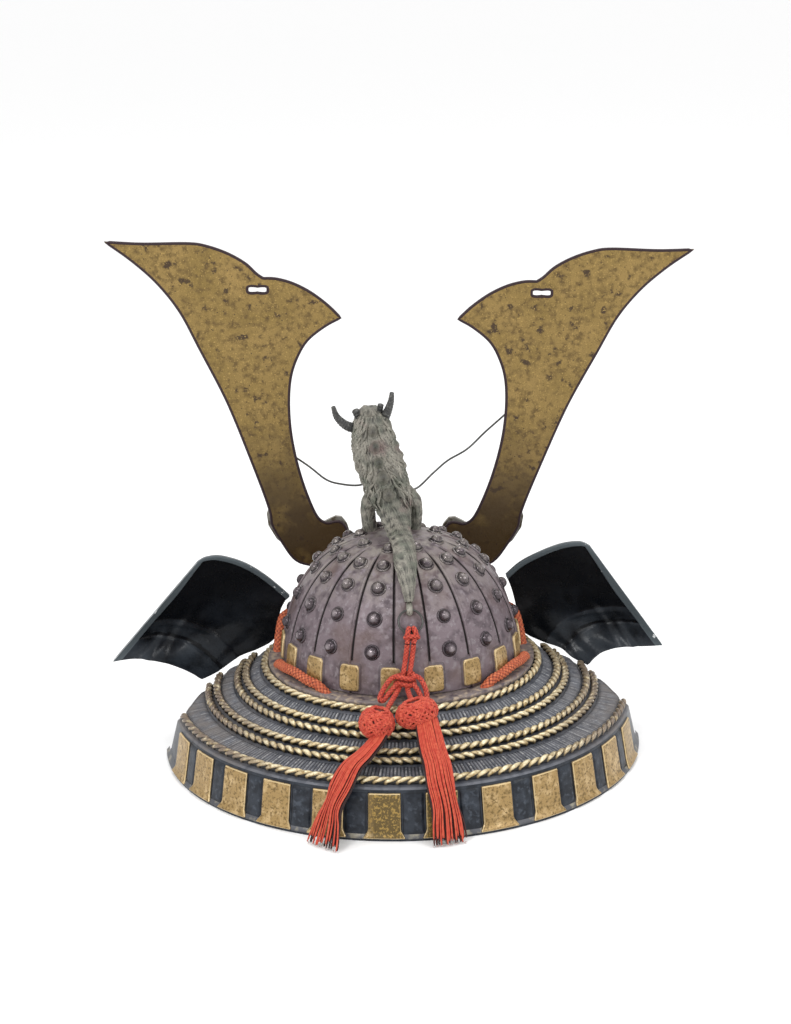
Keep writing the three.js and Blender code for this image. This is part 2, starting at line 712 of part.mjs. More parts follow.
// Right half of the crest from the middle: out is a share of the span, up a share of the rise
const CREST_HALF = [
  { out: 0, up: 0.055 },
  { out: 0.1, up: 0.058 },
  { out: 0.158, up: 0.072 },
  { out: 0.176, up: 0.115 },
  { out: 0.196, up: 0.134 },
  { out: 0.218, up: 0.134 },
  { out: 0.246, up: 0.13 },
  { out: 0.281, up: 0.155 },
  { out: 0.322, up: 0.24 },
  { out: 0.353, up: 0.332 },
  { out: 0.373, up: 0.424 },
  { out: 0.38, up: 0.514 },
  { out: 0.374, up: 0.593 },
  { out: 0.353, up: 0.655 },
  { out: 0.317, up: 0.71 },
  { out: 0.257, up: 0.754 },
  { out: 0.204, up: 0.78 },
  { out: 0.25, up: 0.819 },
  { out: 0.309, up: 0.857 },
  { out: 0.369, up: 0.883 },
  { out: 0.425, up: 0.896 },
  { out: 0.469, up: 0.897 },
  { out: 0.493, up: 0.911 },
  { out: 0.53, up: 0.941 },
  { out: 0.589, up: 0.97 },
  { out: 0.658, up: 0.991 },
  { out: 0.722, up: 0.999 },
  { out: 0.882, up: 0.996 },
  { out: 1, up: 1 },
  { out: 0.914, up: 0.946 },
  { out: 0.828, up: 0.878 },
  { out: 0.752, up: 0.792 },
  { out: 0.685, up: 0.678 },
  { out: 0.613, up: 0.554 },
  { out: 0.572, up: 0.473 },
  { out: 0.521, up: 0.358 },
  { out: 0.465, up: 0.226 },
  { out: 0.441, up: 0.159 },
  { out: 0.436, up: 0.125 },
  { out: 0.401, up: 0.068 },
  { out: 0.353, up: 0.01 },
  { out: 0.295, up: -0.008 },
  { out: 0.2, up: -0.02 },
  { out: 0.11, up: -0.04 },
  { out: 0.07, up: -0.1 },
];
const CREST_HOLE = { out: 0.488, up: 0.863 };

// Right half of the mount's plate, on the same shares
const MOUNT_HALF = [
  { out: 0, up: 0.05 },
  { out: 0.1, up: 0.055 },
  { out: 0.154, up: 0.078 },
  { out: 0.171, up: 0.125 },
  { out: 0.19, up: 0.147 },
  { out: 0.212, up: 0.149 },
  { out: 0.236, up: 0.139 },
  { out: 0.265, up: 0.125 },
  { out: 0.33, up: 0.13 },
  { out: 0.39, up: 0.22 },
  { out: 0.44, up: 0.2 },
  { out: 0.456, up: 0.155 },
  { out: 0.45, up: 0.118 },
  { out: 0.42, up: 0.074 },
  { out: 0.36, up: 0.03 },
  { out: 0.27, up: 0.01 },
  { out: 0.15, up: 0 },
];
const RIB_ROWS = [
  { out: 0.402, up: 0.33, wide: 0.6, deep: 0.5 },
  { out: 0.394, up: 0.27, wide: 1.5, deep: 0.9 },
  { out: 0.375, up: 0.18, wide: 0.6, deep: 0.5 },
];
const CREST_PLANE = BOWL_RADIUS + BASE_PAD_LIFT + 2 * GAP + CHIN_CORD_DIAMETER + 1;
const MOUNT_PLANE = CREST_PLANE + CREST_SHEET + GAP;
const MOUNT_FRONT = MOUNT_PLANE + MOUNT_SHEET;

function crestPoint({ out, up }) {
  return new THREE.Vector2(out * CREST_SPAN, up * CREST_RISE);
}

// Both halves of an outline
function mirrored(half) {
  const other = half.map((point) => new THREE.Vector2(-point.x, point.y)).reverse();
  return half[0].x === 0 ? [...half, ...other.slice(0, -1)] : [...half, ...other];
}

// A flat plate across the front, from its outline in width and height
function uprightPlate(shape, back, thickness) {
  const options = { depth: thickness, bevelEnabled: false, curveSegments: 2 };
  const plate = new THREE.ExtrudeGeometry(shape, options);
  plate.rotateX(Math.PI / 2);
  plate.translate(0, back + thickness, 0);
  return solidOf(plate);
}

function crestHole(side) {
  const middle = crestPoint(CREST_HOLE);
  const lobe = CREST_HOLE_WIDTH / 2;
  const reach = CREST_HOLE_LENGTH / 2 - lobe;
  const x = side * middle.x;
  const hole = new THREE.Path();
  hole.moveTo(x - reach, middle.y - lobe);
  hole.quadraticCurveTo(x, middle.y - 0.5 * lobe, x + reach, middle.y - lobe);
  hole.absarc(x + reach, middle.y, lobe, -Math.PI / 2, Math.PI / 2);
  hole.quadraticCurveTo(x, middle.y + 0.5 * lobe, x - reach, middle.y + lobe);
  hole.absarc(x - reach, middle.y, lobe, Math.PI / 2, (3 * Math.PI) / 2);
  return hole;
}

function crestRib(side) {
  const rows = RIB_ROWS.map(({ out, up, wide, deep }) => {
    const point = crestPoint({ out, up });
    return { at: new THREE.Vector3(side * point.x, CREST_PLANE, point.y), wide, deep };
  });
  return limb(rows, 6, 2, ACROSS);
}

function makeCrest() {
  const shape = new THREE.Shape(mirrored(CREST_HALF.map(crestPoint)));
  shape.holes.push(crestHole(-1), crestHole(1));
  const sheet = uprightPlate(shape, CREST_PLANE, CREST_SHEET);
  return fuse([sheet, crestRib(-1), crestRib(1)]);
}

// The mount leans with the crest and stands on a straight foot
function makeMount(visor) {
  const shape = new THREE.Shape(mirrored(MOUNT_HALF.map(crestPoint)));
  const plate = uprightPlate(shape, MOUNT_PLANE, MOUNT_SHEET);
  const leaning = plate.rotate([0, CREST_ROLL, 0]).translate([0, 0, CREST_BASE]);
  const shelf = CREST_BASE + Math.min(...CREST_HALF.map(({ up }) => up)) * CREST_RISE;
  const height = shelf - 4 * GAP - LEDGE_HEIGHT;
  const foot = new THREE.BoxGeometry(MOUNT_FOOT, MOUNT_FRONT - CREST_PLANE, height);
  foot.translate(0, (MOUNT_FRONT + CREST_PLANE) / 2, LEDGE_HEIGHT + height / 2);
  const stem = new THREE.BoxGeometry(MOUNT_FOOT, MOUNT_SHEET, CREST_BASE - LEDGE_HEIGHT);
  stem.translate(0, MOUNT_PLANE + MOUNT_SHEET / 2, (CREST_BASE + LEDGE_HEIGHT) / 2);
  const mount = fuse([leaning, solidOf(foot), solidOf(stem)]);
  const below = visor.translate([0, 0, GAP]);
  return mount.subtract(below).decompose()[0];
}

// Dragon

// Spine from the tail along the back of the bowl to its top. down is a share of the tail's length
// below the top of the bowl, lift stands off the centre plate, and wide is half the width.
const TAIL_ROWS = [
  { down: 1, lift: 1.2, wide: 3.2 },
  { down: 0.84, lift: 2, wide: 4.6 },
  { down: 0.62, lift: 2, wide: 4.4 },
  { down: 0.36, lift: 2.2, wide: 4.6 },
  { down: 0.14, lift: 2.6, wide: 4.9 },
];
const TAIL_DEPTH = 2.4;

// Neck and head: lean, ahead and up are shares of the lean, depth and rise from the bowl's top
const BODY_ROWS = [
  { lean: 0.02, ahead: -0.2, up: 0.06, wide: 6.2, deep: 3.8 },
  { lean: 0.1, ahead: 0, up: 0.13, wide: 7, deep: 6 },
  { lean: 0.35, ahead: 0.1, up: 0.3, wide: 9.4, deep: 7.4 },
  { lean: 0.7, ahead: 0.12, up: 0.56, wide: 9.7, deep: 7.2 },
  { lean: 0.95, ahead: 0.12, up: 0.76, wide: 8.8, deep: 6.6 },
  { lean: 1, ahead: 0.2, up: 0.9, wide: 7, deep: 6 },
];
const HEAD_ROWS = [
  { lean: 1, ahead: 0.12, up: 0.85, wide: 6.6, deep: 6 },
  { lean: 1, ahead: 0.38, up: 0.86, wide: 7.4, deep: 6.6 },
  { lean: 0.95, ahead: 0.62, up: 0.62, wide: 6, deep: 5.4 },
  { lean: 0.9, ahead: 0.85, up: 0.32, wide: 5, deep: 4.4 },
  { lean: 0.88, ahead: 0.98, up: 0.2, wide: 4.2, deep: 3.2 },
];
const JAW_ROWS = [
  { lean: 0.95, ahead: 0.26, up: 0.66, wide: 4.6, deep: 3.4 },
  { lean: 0.92, ahead: 0.5, up: 0.36, wide: 4, deep: 2.4 },
  { lean: 0.9, ahead: 0.7, up: 0.12, wide: 3.2, deep: 1.8 },
];
const HORN_ROWS = [
  [
    { lean: 1.4, ahead: 0.22, up: 0.82, wide: 2.2, deep: 2.2 },
    { lean: 2, ahead: 0.18, up: 0.86, wide: 2, deep: 2 },
    { lean: 2.4, ahead: 0.14, up: 0.94, wide: 1.5, deep: 1.5 },
    { lean: 2.55, ahead: 0.1, up: 1.03, wide: 0.9, deep: 0.9 },
  ],
  [
    { lean: 0.6, ahead: 0.22, up: 0.86, wide: 2.2, deep: 2.2 },
    { lean: 0.35, ahead: 0.18, up: 0.96, wide: 1.9, deep: 1.9 },
    { lean: 0.2, ahead: 0.14, up: 1.05, wide: 1.4, deep: 1.4 },
    { lean: 0.15, ahead: 0.1, up: 1.13, wide: 0.9, deep: 0.9 },
  ],
  [
    { lean: 1.45, ahead: 0.24, up: 0.88, wide: 1.5, deep: 1.5 },
    { lean: 1.65, ahead: 0.2, up: 0.98, wide: 1.6, deep: 1.6 },
  ],
  [
    { lean: 0.7, ahead: 0.24, up: 0.92, wide: 1.4, deep: 1.4 },
    { lean: 0.6, ahead: 0.2, up: 1.02, wide: 1.2, deep: 1.2 },
  ],
];
const LEG_ROWS = [
  [
    { lean: 0.7, ahead: 0.14, up: 0.34, wide: 3.6, deep: 4.4 },
    { lean: 1.2, ahead: 0.24, up: 0.2, wide: 3.2, deep: 4 },
    { lean: 1.15, ahead: 0.26, up: -0.06, wide: 3, deep: 4.4 },
  ],
  [
    { lean: -0.1, ahead: 0.14, up: 0.34, wide: 3.6, deep: 4.4 },
    { lean: -0.75, ahead: 0.24, up: 0.2, wide: 2.8, deep: 4 },
    { lean: -0.7, ahead: 0.26, up: -0.06, wide: 2.6, deep: 4.4 },
  ],
];
const SPIKE_ROWS = [
  { lean: 0.4, ahead: -0.03, up: 0.34 },
  { lean: 0.6, ahead: -0.03, up: 0.48 },
  { lean: 0.76, ahead: -0.02, up: 0.6 },
  { lean: 0.9, ahead: 0, up: 0.72 },
  { lean: 0.98, ahead: 0.03, up: 0.84 },
];
const SPIKE_SIZE = 1.8;

function dragonPoint({ lean, ahead, up }) {
  const height = BOWL_TOP + up * DRAGON_RISE;
  return new THREE.Vector3(-lean * DRAGON_LEAN, ahead * DRAGON_DEPTH, height);
}

function dragonLimb(rows, sides, steps) {
  const placed = rows.map((row) => ({ at: dragonPoint(row), wide: row.wide, deep: row.deep }));
  return limb(placed, sides, steps, ACROSS);
}

function tailPoint({ down, lift }) {
  const share = 1 - (down * TAIL_LENGTH) / BOWL_RISE;
  const point = onBowl(BOWL_TURN, share, CENTRE_PLATE_LIFT + lift);
  return point;
}

function dragonSpike(row) {
  const foot = dragonPoint(row);
  const rows = [
    { at: foot, wide: 0.8 * SPIKE_SIZE, deep: SPIKE_SIZE },
    { at: foot.clone().add(new THREE.Vector3(0, -1.6 * SPIKE_SIZE, 0)), wide: 0.4, deep: 0.4 },
  ];
  return limb(rows, 4, 1, ACROSS);
}

function makeDragon() {
  const tail = TAIL_ROWS.map((row) => ({ at: tailPoint(row), wide: row.wide, deep: TAIL_DEPTH }));
  const body = BODY_ROWS.map((row) => ({ at: dragonPoint(row), wide: row.wide, deep: row.deep }));
  const parts = [limb([...tail, ...body], 8, 18, ACROSS), dragonLimb(HEAD_ROWS, 8, 6)];
  parts.push(dragonLimb(JAW_ROWS, 6, 4));
  for (const rows of HORN_ROWS) parts.push(dragonLimb(rows, 6, rows.length > 2 ? 5 : 2));
  for (const rows of LEG_ROWS) parts.push(dragonLimb(rows, 6, 4));
  for (const row of SPIKE_ROWS) parts.push(dragonSpike(row));
  const crown = bowlRivets(RIVET_ROWS.slice(-1), GAP);
  const seat = fuse([bowlSkin(GAP), ...crown]).rotate([0, 0, BOWL_TURN]);
  return cut(fuse(parts), [seat, ...WHISKER_ROWS.map(whiskerSocket)]);
}

// Whiskers, bent wires from the snout that pass in front of the blades. Rows are shares of the
// blade's span, the plane of the blades and the rise of the dragon.
const WHISKER_ROWS = [
  [
    { out: -0.09, ahead: 0.58, up: 0.25 },
    { out: -0.125, ahead: 0.6, up: 0.215 },
    { out: -0.179, ahead: 0.7, up: 0.195 },
    { out: -0.234, ahead: 0.85, up: 0.19 },
    { out: -0.3, ahead: 1.03, up: 0.265 },
    { out: -0.4, ahead: 1.1, up: 0.42 },
    { out: -0.49, ahead: 1.14, up: 0.59 },
    { out: -0.553, ahead: 1.15, up: 0.72 },
    { out: -0.575, ahead: 1.15, up: 0.8 },
  ],
  [
    { out: -0.045, ahead: 0.58, up: 0.25 },
    { out: 0.02, ahead: 0.62, up: 0.17 },
    { out: 0.075, ahead: 0.67, up: 0.15 },
    { out: 0.138, ahead: 0.75, up: 0.255 },
    { out: 0.192, ahead: 0.87, up: 0.32 },
    { out: 0.266, ahead: 1.02, up: 0.37 },
    { out: 0.333, ahead: 1.1, up: 0.49 },
    { out: 0.42, ahead: 1.14, up: 0.66 },
    { out: 0.5, ahead: 1.15, up: 0.85 },
  ],
];

function whisker(rows, radius, steps) {
  const points = rows.map(({ out, ahead, up }) => {
    const height = BOWL_TOP + up * DRAGON_RISE;
    return new THREE.Vector3(out * CREST_SPAN, ahead * MOUNT_FRONT, height);
  });
  return limb(rowsOf(points, radius), 6, steps, UPRIGHT);
}

// The hole in the snout that holds the root of a whisker
function whiskerSocket(rows) {
  return whisker(rows.slice(0, 2), WHISKER_WIRE / 2 + GAP, 1);
}

// Tail ring and the hitch of the cords on it

function makeRing() {
  const ring = new THREE.TorusGeometry(RING_DIAMETER / 2, RING_WIRE / 2, 6, 20);
  ring.rotateX(Math.PI / 2 - THREE.MathUtils.degToRad(RING_TILT));
  ring.translate(RING_CENTRE.x, RING_CENTRE.y, RING_CENTRE.z);
  return solidOf(ring);
}

const HITCH_RADIUS = RING_WIRE / 2 + GAP + CORD_DIAMETER / 2;
const STRAND_OFFSET = CORD_DIAMETER / 2 + GAP / 2;

// Two turns of cord side by side round the foot of the ring
function makeHitch() {
  const lean = STRAND_OFFSET / (RING_DIAMETER / 2);
  const turns = [-1, 1].map((side) => {
    const turn = new THREE.TorusGeometry(HITCH_RADIUS, CORD_DIAMETER / 2, 6, 10);
    turn.rotateY(Math.PI / 2);
    turn.translate(0, 0, -RING_DIAMETER / 2);
    turn.rotateY(-side * lean);
    turn.rotateX(-THREE.MathUtils.degToRad(RING_TILT));
    turn.translate(RING_CENTRE.x, RING_CENTRE.y, RING_CENTRE.z);
    return solidOf(turn);
  });
  return fuse(turns).rotate([0, 0, BOWL_TURN]);
}

// Routes of the two cords, from the hitch through the knot to the tassels
const CORD_ROUTES = [
  [
    [0.65, -50.7, 60.9],
    [0.25, -50.8, 57.6],
    [-0.35, -51.6, 54],
    [-1.05, -53, 50.6],
    [-1.85, -53.9, 47.6],
    [-3, -55.8, 45],
    [-5, -60, 43.2],
    [-6.9, -64.6, 42],
    [-9.3, -70, 40.1],
  ],
  [
    [3.15, -50.7, 60.9],
    [2.75, -50.8, 57.6],
    [2.15, -51.6, 54],
    [1.45, -53, 50.6],
    [0.65, -53.9, 47.6],
    [0.2, -55.9, 45],
    [0.7, -59.6, 43.6],
    [1.2, -63.4, 43.3],
    [2.1, -68.3, 43.2],
  ],
].map((route) => route.map(([x, y, z]) => new THREE.Vector3(x, y, z)));
const CORD_STEPS = 10;

// The knot: two turns round both cords and a hanging loop on each side
const KNOT_CENTRE = CORD_ROUTES[0][4].clone().add(CORD_ROUTES[1][4]).multiplyScalar(0.5);
const KNOT_LOOPS = [
  [
    [-2.6, 0.2, 1.6],
    [-5.8, -1.6, 0.8],
    [-8.8, -4.2, -2.4],
    [-10.3, -6.2, -5.4],
    [-8.8, -6.3, -6],
    [-6.4, -4.4, -3.6],
    [-3.2, -1.8, -1],
  ],
  [
    [2.6, 0.2, 1.6],
    [5.6, -1.4, 1],
    [7.6, -4, -1.8],
    [8.2, -6.2, -5.6],
    [6.5, -6.3, -6.2],
    [5, -4.2, -3.4],
    [3, -1.8, -1],
  ],
];

function makeKnot() {
  const thick = CORD_DIAMETER / 2;
  const wide = STRAND_OFFSET + CORD_DIAMETER + GAP;
  const deep = CORD_DIAMETER + GAP;
  const parts = [-1, 1].map((side) => {
    const rows = [];
    for (let k = 0; k < 8; k++) {
      const turn = (k / 8) * 2 * Math.PI;
      const offset = new THREE.Vector3(wide * Math.cos(turn), deep * Math.sin(turn), side * 1.3);
      rows.push({ at: KNOT_CENTRE.clone().add(offset), wide: thick, deep: thick + GAP });
    }
    return limb(rows, 6, 8, UPRIGHT, true);
  });
  for (const loop of KNOT_LOOPS) {
    const points = loop.map(([x, y, z]) => KNOT_CENTRE.clone().add(new THREE.Vector3(x, y, z)));
    parts.push(limb(rowsOf(points, thick), 6, 8, new THREE.Vector3(0, 0.7, 0.7)));
  }
  const channels = CORD_ROUTES.map((route) => {
    return limb(rowsOf(route.slice(1, 8), CORD_DIAMETER / 2 + 1.6 * GAP), 6, 5, ACROSS);
  });
  return cut(fuse(parts), channels);
}

// Tassels: a knotted head and a fluted skirt over the tiers of the neck guard
const TASSELS = [
  {
    head: [-12.6, -76.5, 39],
    size: [7, 6.6, 6.6],
    tilt: 12,
    skirt: [
      { at: [-10.6, -79, 36.2], wide: 5 },
      { at: [-13.4, -82.6, 33.4], wide: 6 },
      { at: [-17.2, -86.6, 30.6], wide: 7 },
      { at: [-22.4, -91.8, 28.3], wide: 8 },
      { at: [-27.1, -97, 21.6], wide: 8.6 },
      { at: [-31, -98.8, 11.6], wide: 9.8 },
      { at: [-34.2, -99.4, 2.4], wide: 11 },
    ],
  },
  {
    head: [2.9, -75, 42],
    size: [8.4, 6.2, 6],
    tilt: -16,
    skirt: [
      { at: [6.3, -77.5, 40.4], wide: 8.4 },
      { at: [7.4, -82.5, 35.2], wide: 9.4 },
      { at: [8.4, -88, 31], wide: 10 },
      { at: [9.6, -93.6, 28.2], wide: 10.6 },
      { at: [10.6, -98.6, 21.8], wide: 11 },
      { at: [12.4, -101.4, 10.6], wide: 12.2 },
      { at: [13.5, -104.4, 1.9], wide: 12.8 },
    ],
  },
];
const LOCKS = 4;
const LOCK_DEPTH = 1.1; // how deep the skirt is fluted between its locks

// Section of a skirt one unit wide: fluted on the outside and smooth on the inside
function skirtSection() {
  const half = SKIRT_THICKNESS / 2;
  const section = [];
  for (let k = 0; k <= 2 * LOCKS; k++) {
    const groove = k % 2 ? 0 : LOCK_DEPTH;
    section.push(new THREE.Vector2(k / (2 * LOCKS) - 0.5, half - groove));
  }
  section.push(new THREE.Vector2(0.4, -half), new THREE.Vector2(-0.4, -half));
  const arch = ({ x, y }) => new THREE.Vector2(x, y + SKIRT_THICKNESS * (0.4 - 1.6 * x * x));
  return section.map(arch);
}

function makeSkirt(skirt) {
  const section = skirtSection();
  const points = skirt.map(({ at }) => new THREE.Vector3(...at));
  const rings = skirt.map(({ wide }, i) => {
    const from = points[Math.max(0, i - 1)];
    const to = points[Math.min(points.length - 1, i + 1)];
    const run = to.clone().sub(from).normalize();
    const along = UPRIGHT.clone().cross(run).normalize();
    const out = run.clone().cross(along);
    return section.map(({ x, y }) => {
      return points[i].clone().addScaledVector(along, x * wide).addScaledVector(out, y);
    });
  });
  return loft(rings, outlineCap(section));
}

function makeTassel({ head, size, tilt, skirt }) {
  const ball = new THREE.SphereGeometry(1, 10, 7);
  ball.scale(...size);
  ball.rotateY(THREE.MathUtils.degToRad(tilt));
  ball.translate(...head);
  return solidOf(ball).add(makeSkirt(skirt));
}

// Chin cord: a closed loop round the foot of the bowl, laced through the slots of the ledge
const CHIN_OVER = LEDGE_HEIGHT + CHIN_CORD_DIAMETER / 2 + GAP;
const CHIN_UNDER = LEDGE_HEIGHT - CASTING_WALL - CHIN_CORD_DIAMETER / 2 - 2 * GAP;
const CHIN_FRONT = VISOR_SEAT + VISOR_WALL + CHIN_CORD_DIAMETER / 2 + GAP;
const CHIN_SIDE = CHIN_FRONT + 1.6 * CHIN_CORD_DIAMETER;
const CHIN_ARCH = 1.4; // rise of the cord between the two slots at the back
const CHIN_STATIONS = [
  { azimuth: 0, height: CHIN_UNDER },
  { azimuth: SLOT_AZIMUTHS[0] - 0.55 * SLOT_ANGLE, height: CHIN_UNDER },
  { azimuth: SLOT_AZIMUTHS[0] + 0.55 * SLOT_ANGLE, height: CHIN_OVER },
  { azimuth: (SLOT_AZIMUTHS[0] + SLOT_AZIMUTHS[1]) / 2, height: CHIN_OVER + CHIN_ARCH },
  { azimuth: SLOT_AZIMUTHS[1] - 0.45 * SLOT_ANGLE, height: CHIN_OVER },
  { azimuth: SLOT_AZIMUTHS[1] + 0.55 * SLOT_ANGLE, height: CHIN_UNDER },
  { azimuth: SLOT_AZIMUTHS[2] - 0.5 * SLOT_ANGLE, height: CHIN_UNDER },
  { azimuth: SLOT_AZIMUTHS[2] + 0.9 * SLOT_ANGLE, height: CHIN_SIDE },
  { azimuth: 180, height: CHIN_FRONT },
];
const CHIN_STEPS = 72;

// Height of the chin cord at an azimuth from the back, eased between the stations
function chinHeight(azimuth) {
  const angle = Math.abs(azimuth);
  const next = CHIN_STATIONS.findIndex((station) => station.azimuth >= angle);
  const to = CHIN_STATIONS[Math.max(1, next)];
  const from = CHIN_STATIONS[Math.max(1, next) - 1];
  const share = (angle - from.azimuth) / (to.azimuth - from.azimuth);
  const eased = THREE.MathUtils.smoothstep(share, 0, 1);
  return THREE.MathUtils.lerp(from.height, to.height, eased);
}

function makeChinCord() {
  const points = [];
  for (let i = 0; i < CHIN_STEPS; i++) {
    const azimuth = (i / CHIN_STEPS) * 360 - 180;
    points.push(polar(azimuth, CHIN_RADIUS, chinHeight(azimuth)));
  }
  const rows = rowsOf(points, CHIN_CORD_DIAMETER / 2);
  return limb(rows, 8, CHIN_STEPS, UPRIGHT, true);
}

// Materials from the colours of the real finish

function metal(color, roughness, metalness) {
  return new THREE.MeshStandardMaterial({ color, roughness, metalness });
}

const PATINA = metal(0x6b6068, 0.5, 0.6);
const SLATE = metal(0x3a3f47, 0.5, 0.6);
const BLACK = metal(0x0b0f16, 0.3, 0.2);
const BRASS = metal(0x8a6a2a, 0.5, 0.7);
const VERDIGRIS = metal(0x8a8778, 0.65, 0.4);
const WIRE = metal(0x505050, 0.4, 0.8);
const RED = metal(0xcc4030, 0.8, 0);
const ORANGE = metal(0xc8552a, 0.8, 0);

function named(name, solid, material) {
  const mesh = new THREE.Mesh(geometryOf(solid), material);
  mesh.name = name;
  return mesh;
}

// Assembly

const helmet = new THREE.Group();
const turned = new THREE.Group();
turned.rotation.z = THREE.MathUtils.degToRad(BOWL_TURN);
turned.add(named("bowl", makeBowl(), PATINA), named("tail_ring", makeRing(), WIRE));

const visor = makeVisor();
const crest = named("crest", makeCrest(), BRASS);
crest.rotation.y = THREE.MathUtils.degToRad(CREST_ROLL);
crest.position.z = CREST_BASE;

helmet.add(
  turned,
  crest,
  named("neck_guard", makeNeckGuard(), SLATE),
  named("visor", visor, PATINA),
  named("fukigaeshi_left", makeWing(WING_LEFT), BLACK),
  named("fukigaeshi_right", makeWing(WING_RIGHT), BLACK),
  named("crest_mount", makeMount(visor), BRASS),
  named("dragon", makeDragon(), VERDIGRIS),
  named("whisker_left", whisker(WHISKER_ROWS[0], WHISKER_WIRE / 2, 14), WIRE),
  named("whisker_right", whisker(WHISKER_ROWS[1], WHISKER_WIRE / 2, 14), WIRE),
  named("chin_cord", makeChinCord(), ORANGE),
);
helmet.updateMatrixWorld(true);

// The origin lies on the surface, below the middle of the hard pieces
const box = new THREE.Box3().setFromObject(helmet, true);
const middle = box.getCenter(new THREE.Vector3());
helmet.position.set(-middle.x, -middle.y, -box.min.z);

helmet.add(
  named("agemaki_hitch", makeHitch(), RED),
  named("agemaki_cord_left", cordTube(CORD_ROUTES[0], CORD_DIAMETER, CORD_STEPS), RED),
  named("agemaki_cord_right", cordTube(CORD_ROUTES[1], CORD_DIAMETER, CORD_STEPS), RED),
  named("agemaki_knot", makeKnot(), RED),
  named("tassel_left", makeTassel(TASSELS[0]), RED),
  named("tassel_right", makeTassel(TASSELS[1]), RED),
);

export default helmet;
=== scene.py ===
import math

import bpy
import numpy as np
from mathutils import Matrix, Vector


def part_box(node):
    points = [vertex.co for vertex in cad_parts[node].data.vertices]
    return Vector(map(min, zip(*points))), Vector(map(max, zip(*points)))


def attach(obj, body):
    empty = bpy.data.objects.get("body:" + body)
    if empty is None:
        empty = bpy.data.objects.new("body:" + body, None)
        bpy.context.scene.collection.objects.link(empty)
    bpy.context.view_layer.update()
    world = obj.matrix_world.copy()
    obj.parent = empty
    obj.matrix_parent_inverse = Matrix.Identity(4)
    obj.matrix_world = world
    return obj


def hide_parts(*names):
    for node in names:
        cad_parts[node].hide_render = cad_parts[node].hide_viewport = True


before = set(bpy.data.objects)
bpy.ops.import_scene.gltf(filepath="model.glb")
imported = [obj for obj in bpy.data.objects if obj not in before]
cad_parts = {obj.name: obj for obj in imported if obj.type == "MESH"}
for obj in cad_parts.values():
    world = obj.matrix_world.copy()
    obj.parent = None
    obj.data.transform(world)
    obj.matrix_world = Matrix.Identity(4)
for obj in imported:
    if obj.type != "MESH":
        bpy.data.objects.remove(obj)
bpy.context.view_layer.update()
rng = np.random.default_rng(7)

# All sizes below are millimetres in the helmet's own frame: the axis of the bowl at x = y = 0,
# the back of the helmet towards -y, and azimuths in degrees from the back towards +x.
RIM_RADIUS = 100.0
LEDGE = 38.6
GUARD_SWEEP = 113.0
BOWL_RADIUS = 49.3
BOWL_BASE = 38.9
BOWL_RISE = 52.2
BOWL_TOP = BOWL_BASE + BOWL_RISE
BOWL_TURN = 3.0
CENTRE_PLATE = 8.0
PLATE_ANGLE = 22.5
RIVET_ROWS = (0.328, 0.564, 0.763, 0.893, 0.97)
CREST_BASE = 60.0
CREST_ROLL = 2.2
CREST_PLANE = 55.8
CREST_SHEET = 1.6
CREST_SPAN = 124.7
CREST_RISE = 141.6
DRAGON_RISE = 52.0
DRAGON_LEAN = 10.0
DRAGON_DEPTH = 40.0
WING_REACH = 121.5
WING_HEIGHT = 79.2
TAIL_FALL = 16.5
WHISKER_REACH = 59.7
WIRE_RADIUS = 0.45
RING_RADIUS = 4.8
CHIN_RING = 52.5
CHIN_CORD_RADIUS = 2.1
PAD_COUNT = 18
BLOCK_ANGLE = 13
BLOCK_HALF = 3.8

low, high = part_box("neck_guard")
AXIS = np.array([(low[0] + high[0]) * 500, low[1] * 1000 + RIM_RADIUS, 0.0])


def to_row(points):
    """Helmet millimetres to metres in the row frame."""
    return (np.asarray(points, float) + AXIS) * 0.001


def place(point):
    return Vector(to_row(point).tolist())


# Camera and cords

CAMERA_PLACE = (-28.7, -789.5, 336)
CAMERA_TURN = -2
CAMERA_DOWN = 16.6
CAMERA_ROLL = -1.15
camera_data = bpy.data.cameras.new("camera")
camera = bpy.data.objects.new("camera", camera_data)
bpy.context.scene.collection.objects.link(camera)
camera_data.lens = 70.3
camera_data.sensor_width = 36
camera_data.clip_start = 0.01
turn = Matrix.Rotation(math.radians(CAMERA_TURN), 4, "Z")
pitch = Matrix.Rotation(math.radians(90 - CAMERA_DOWN), 4, "X")
roll = Matrix.Rotation(math.radians(CAMERA_ROLL), 4, "Z")
camera.matrix_world = Matrix.Translation(place(CAMERA_PLACE)) @ turn @ pitch @ roll
bpy.context.scene.camera = camera

CORD = 2.2
CORD_ROUTES = (
    ((0.65, -50.7, 60.9), (0.25, -50.8, 57.6), (-0.35, -51.6, 54), (-1.05, -53, 50.6),
     (-1.85, -53.9, 47.6), (-3, -55.8, 45), (-5, -60, 43.2), (-6.9, -64.6, 42), (-9.3, -70, 40.1)),
    ((3.15, -50.7, 60.9), (2.75, -50.8, 57.6), (2.15, -51.6, 54), (1.45, -53, 50.6),
     (0.65, -53.9, 47.6), (0.2, -55.9, 45), (0.7, -59.6, 43.6), (1.2, -63.4, 43.3),
     (2.1, -68.3, 43.2)),
)
KNOT = np.array([-0.6, -53.9, 47.6])


# Paths and surfaces as arrays of points

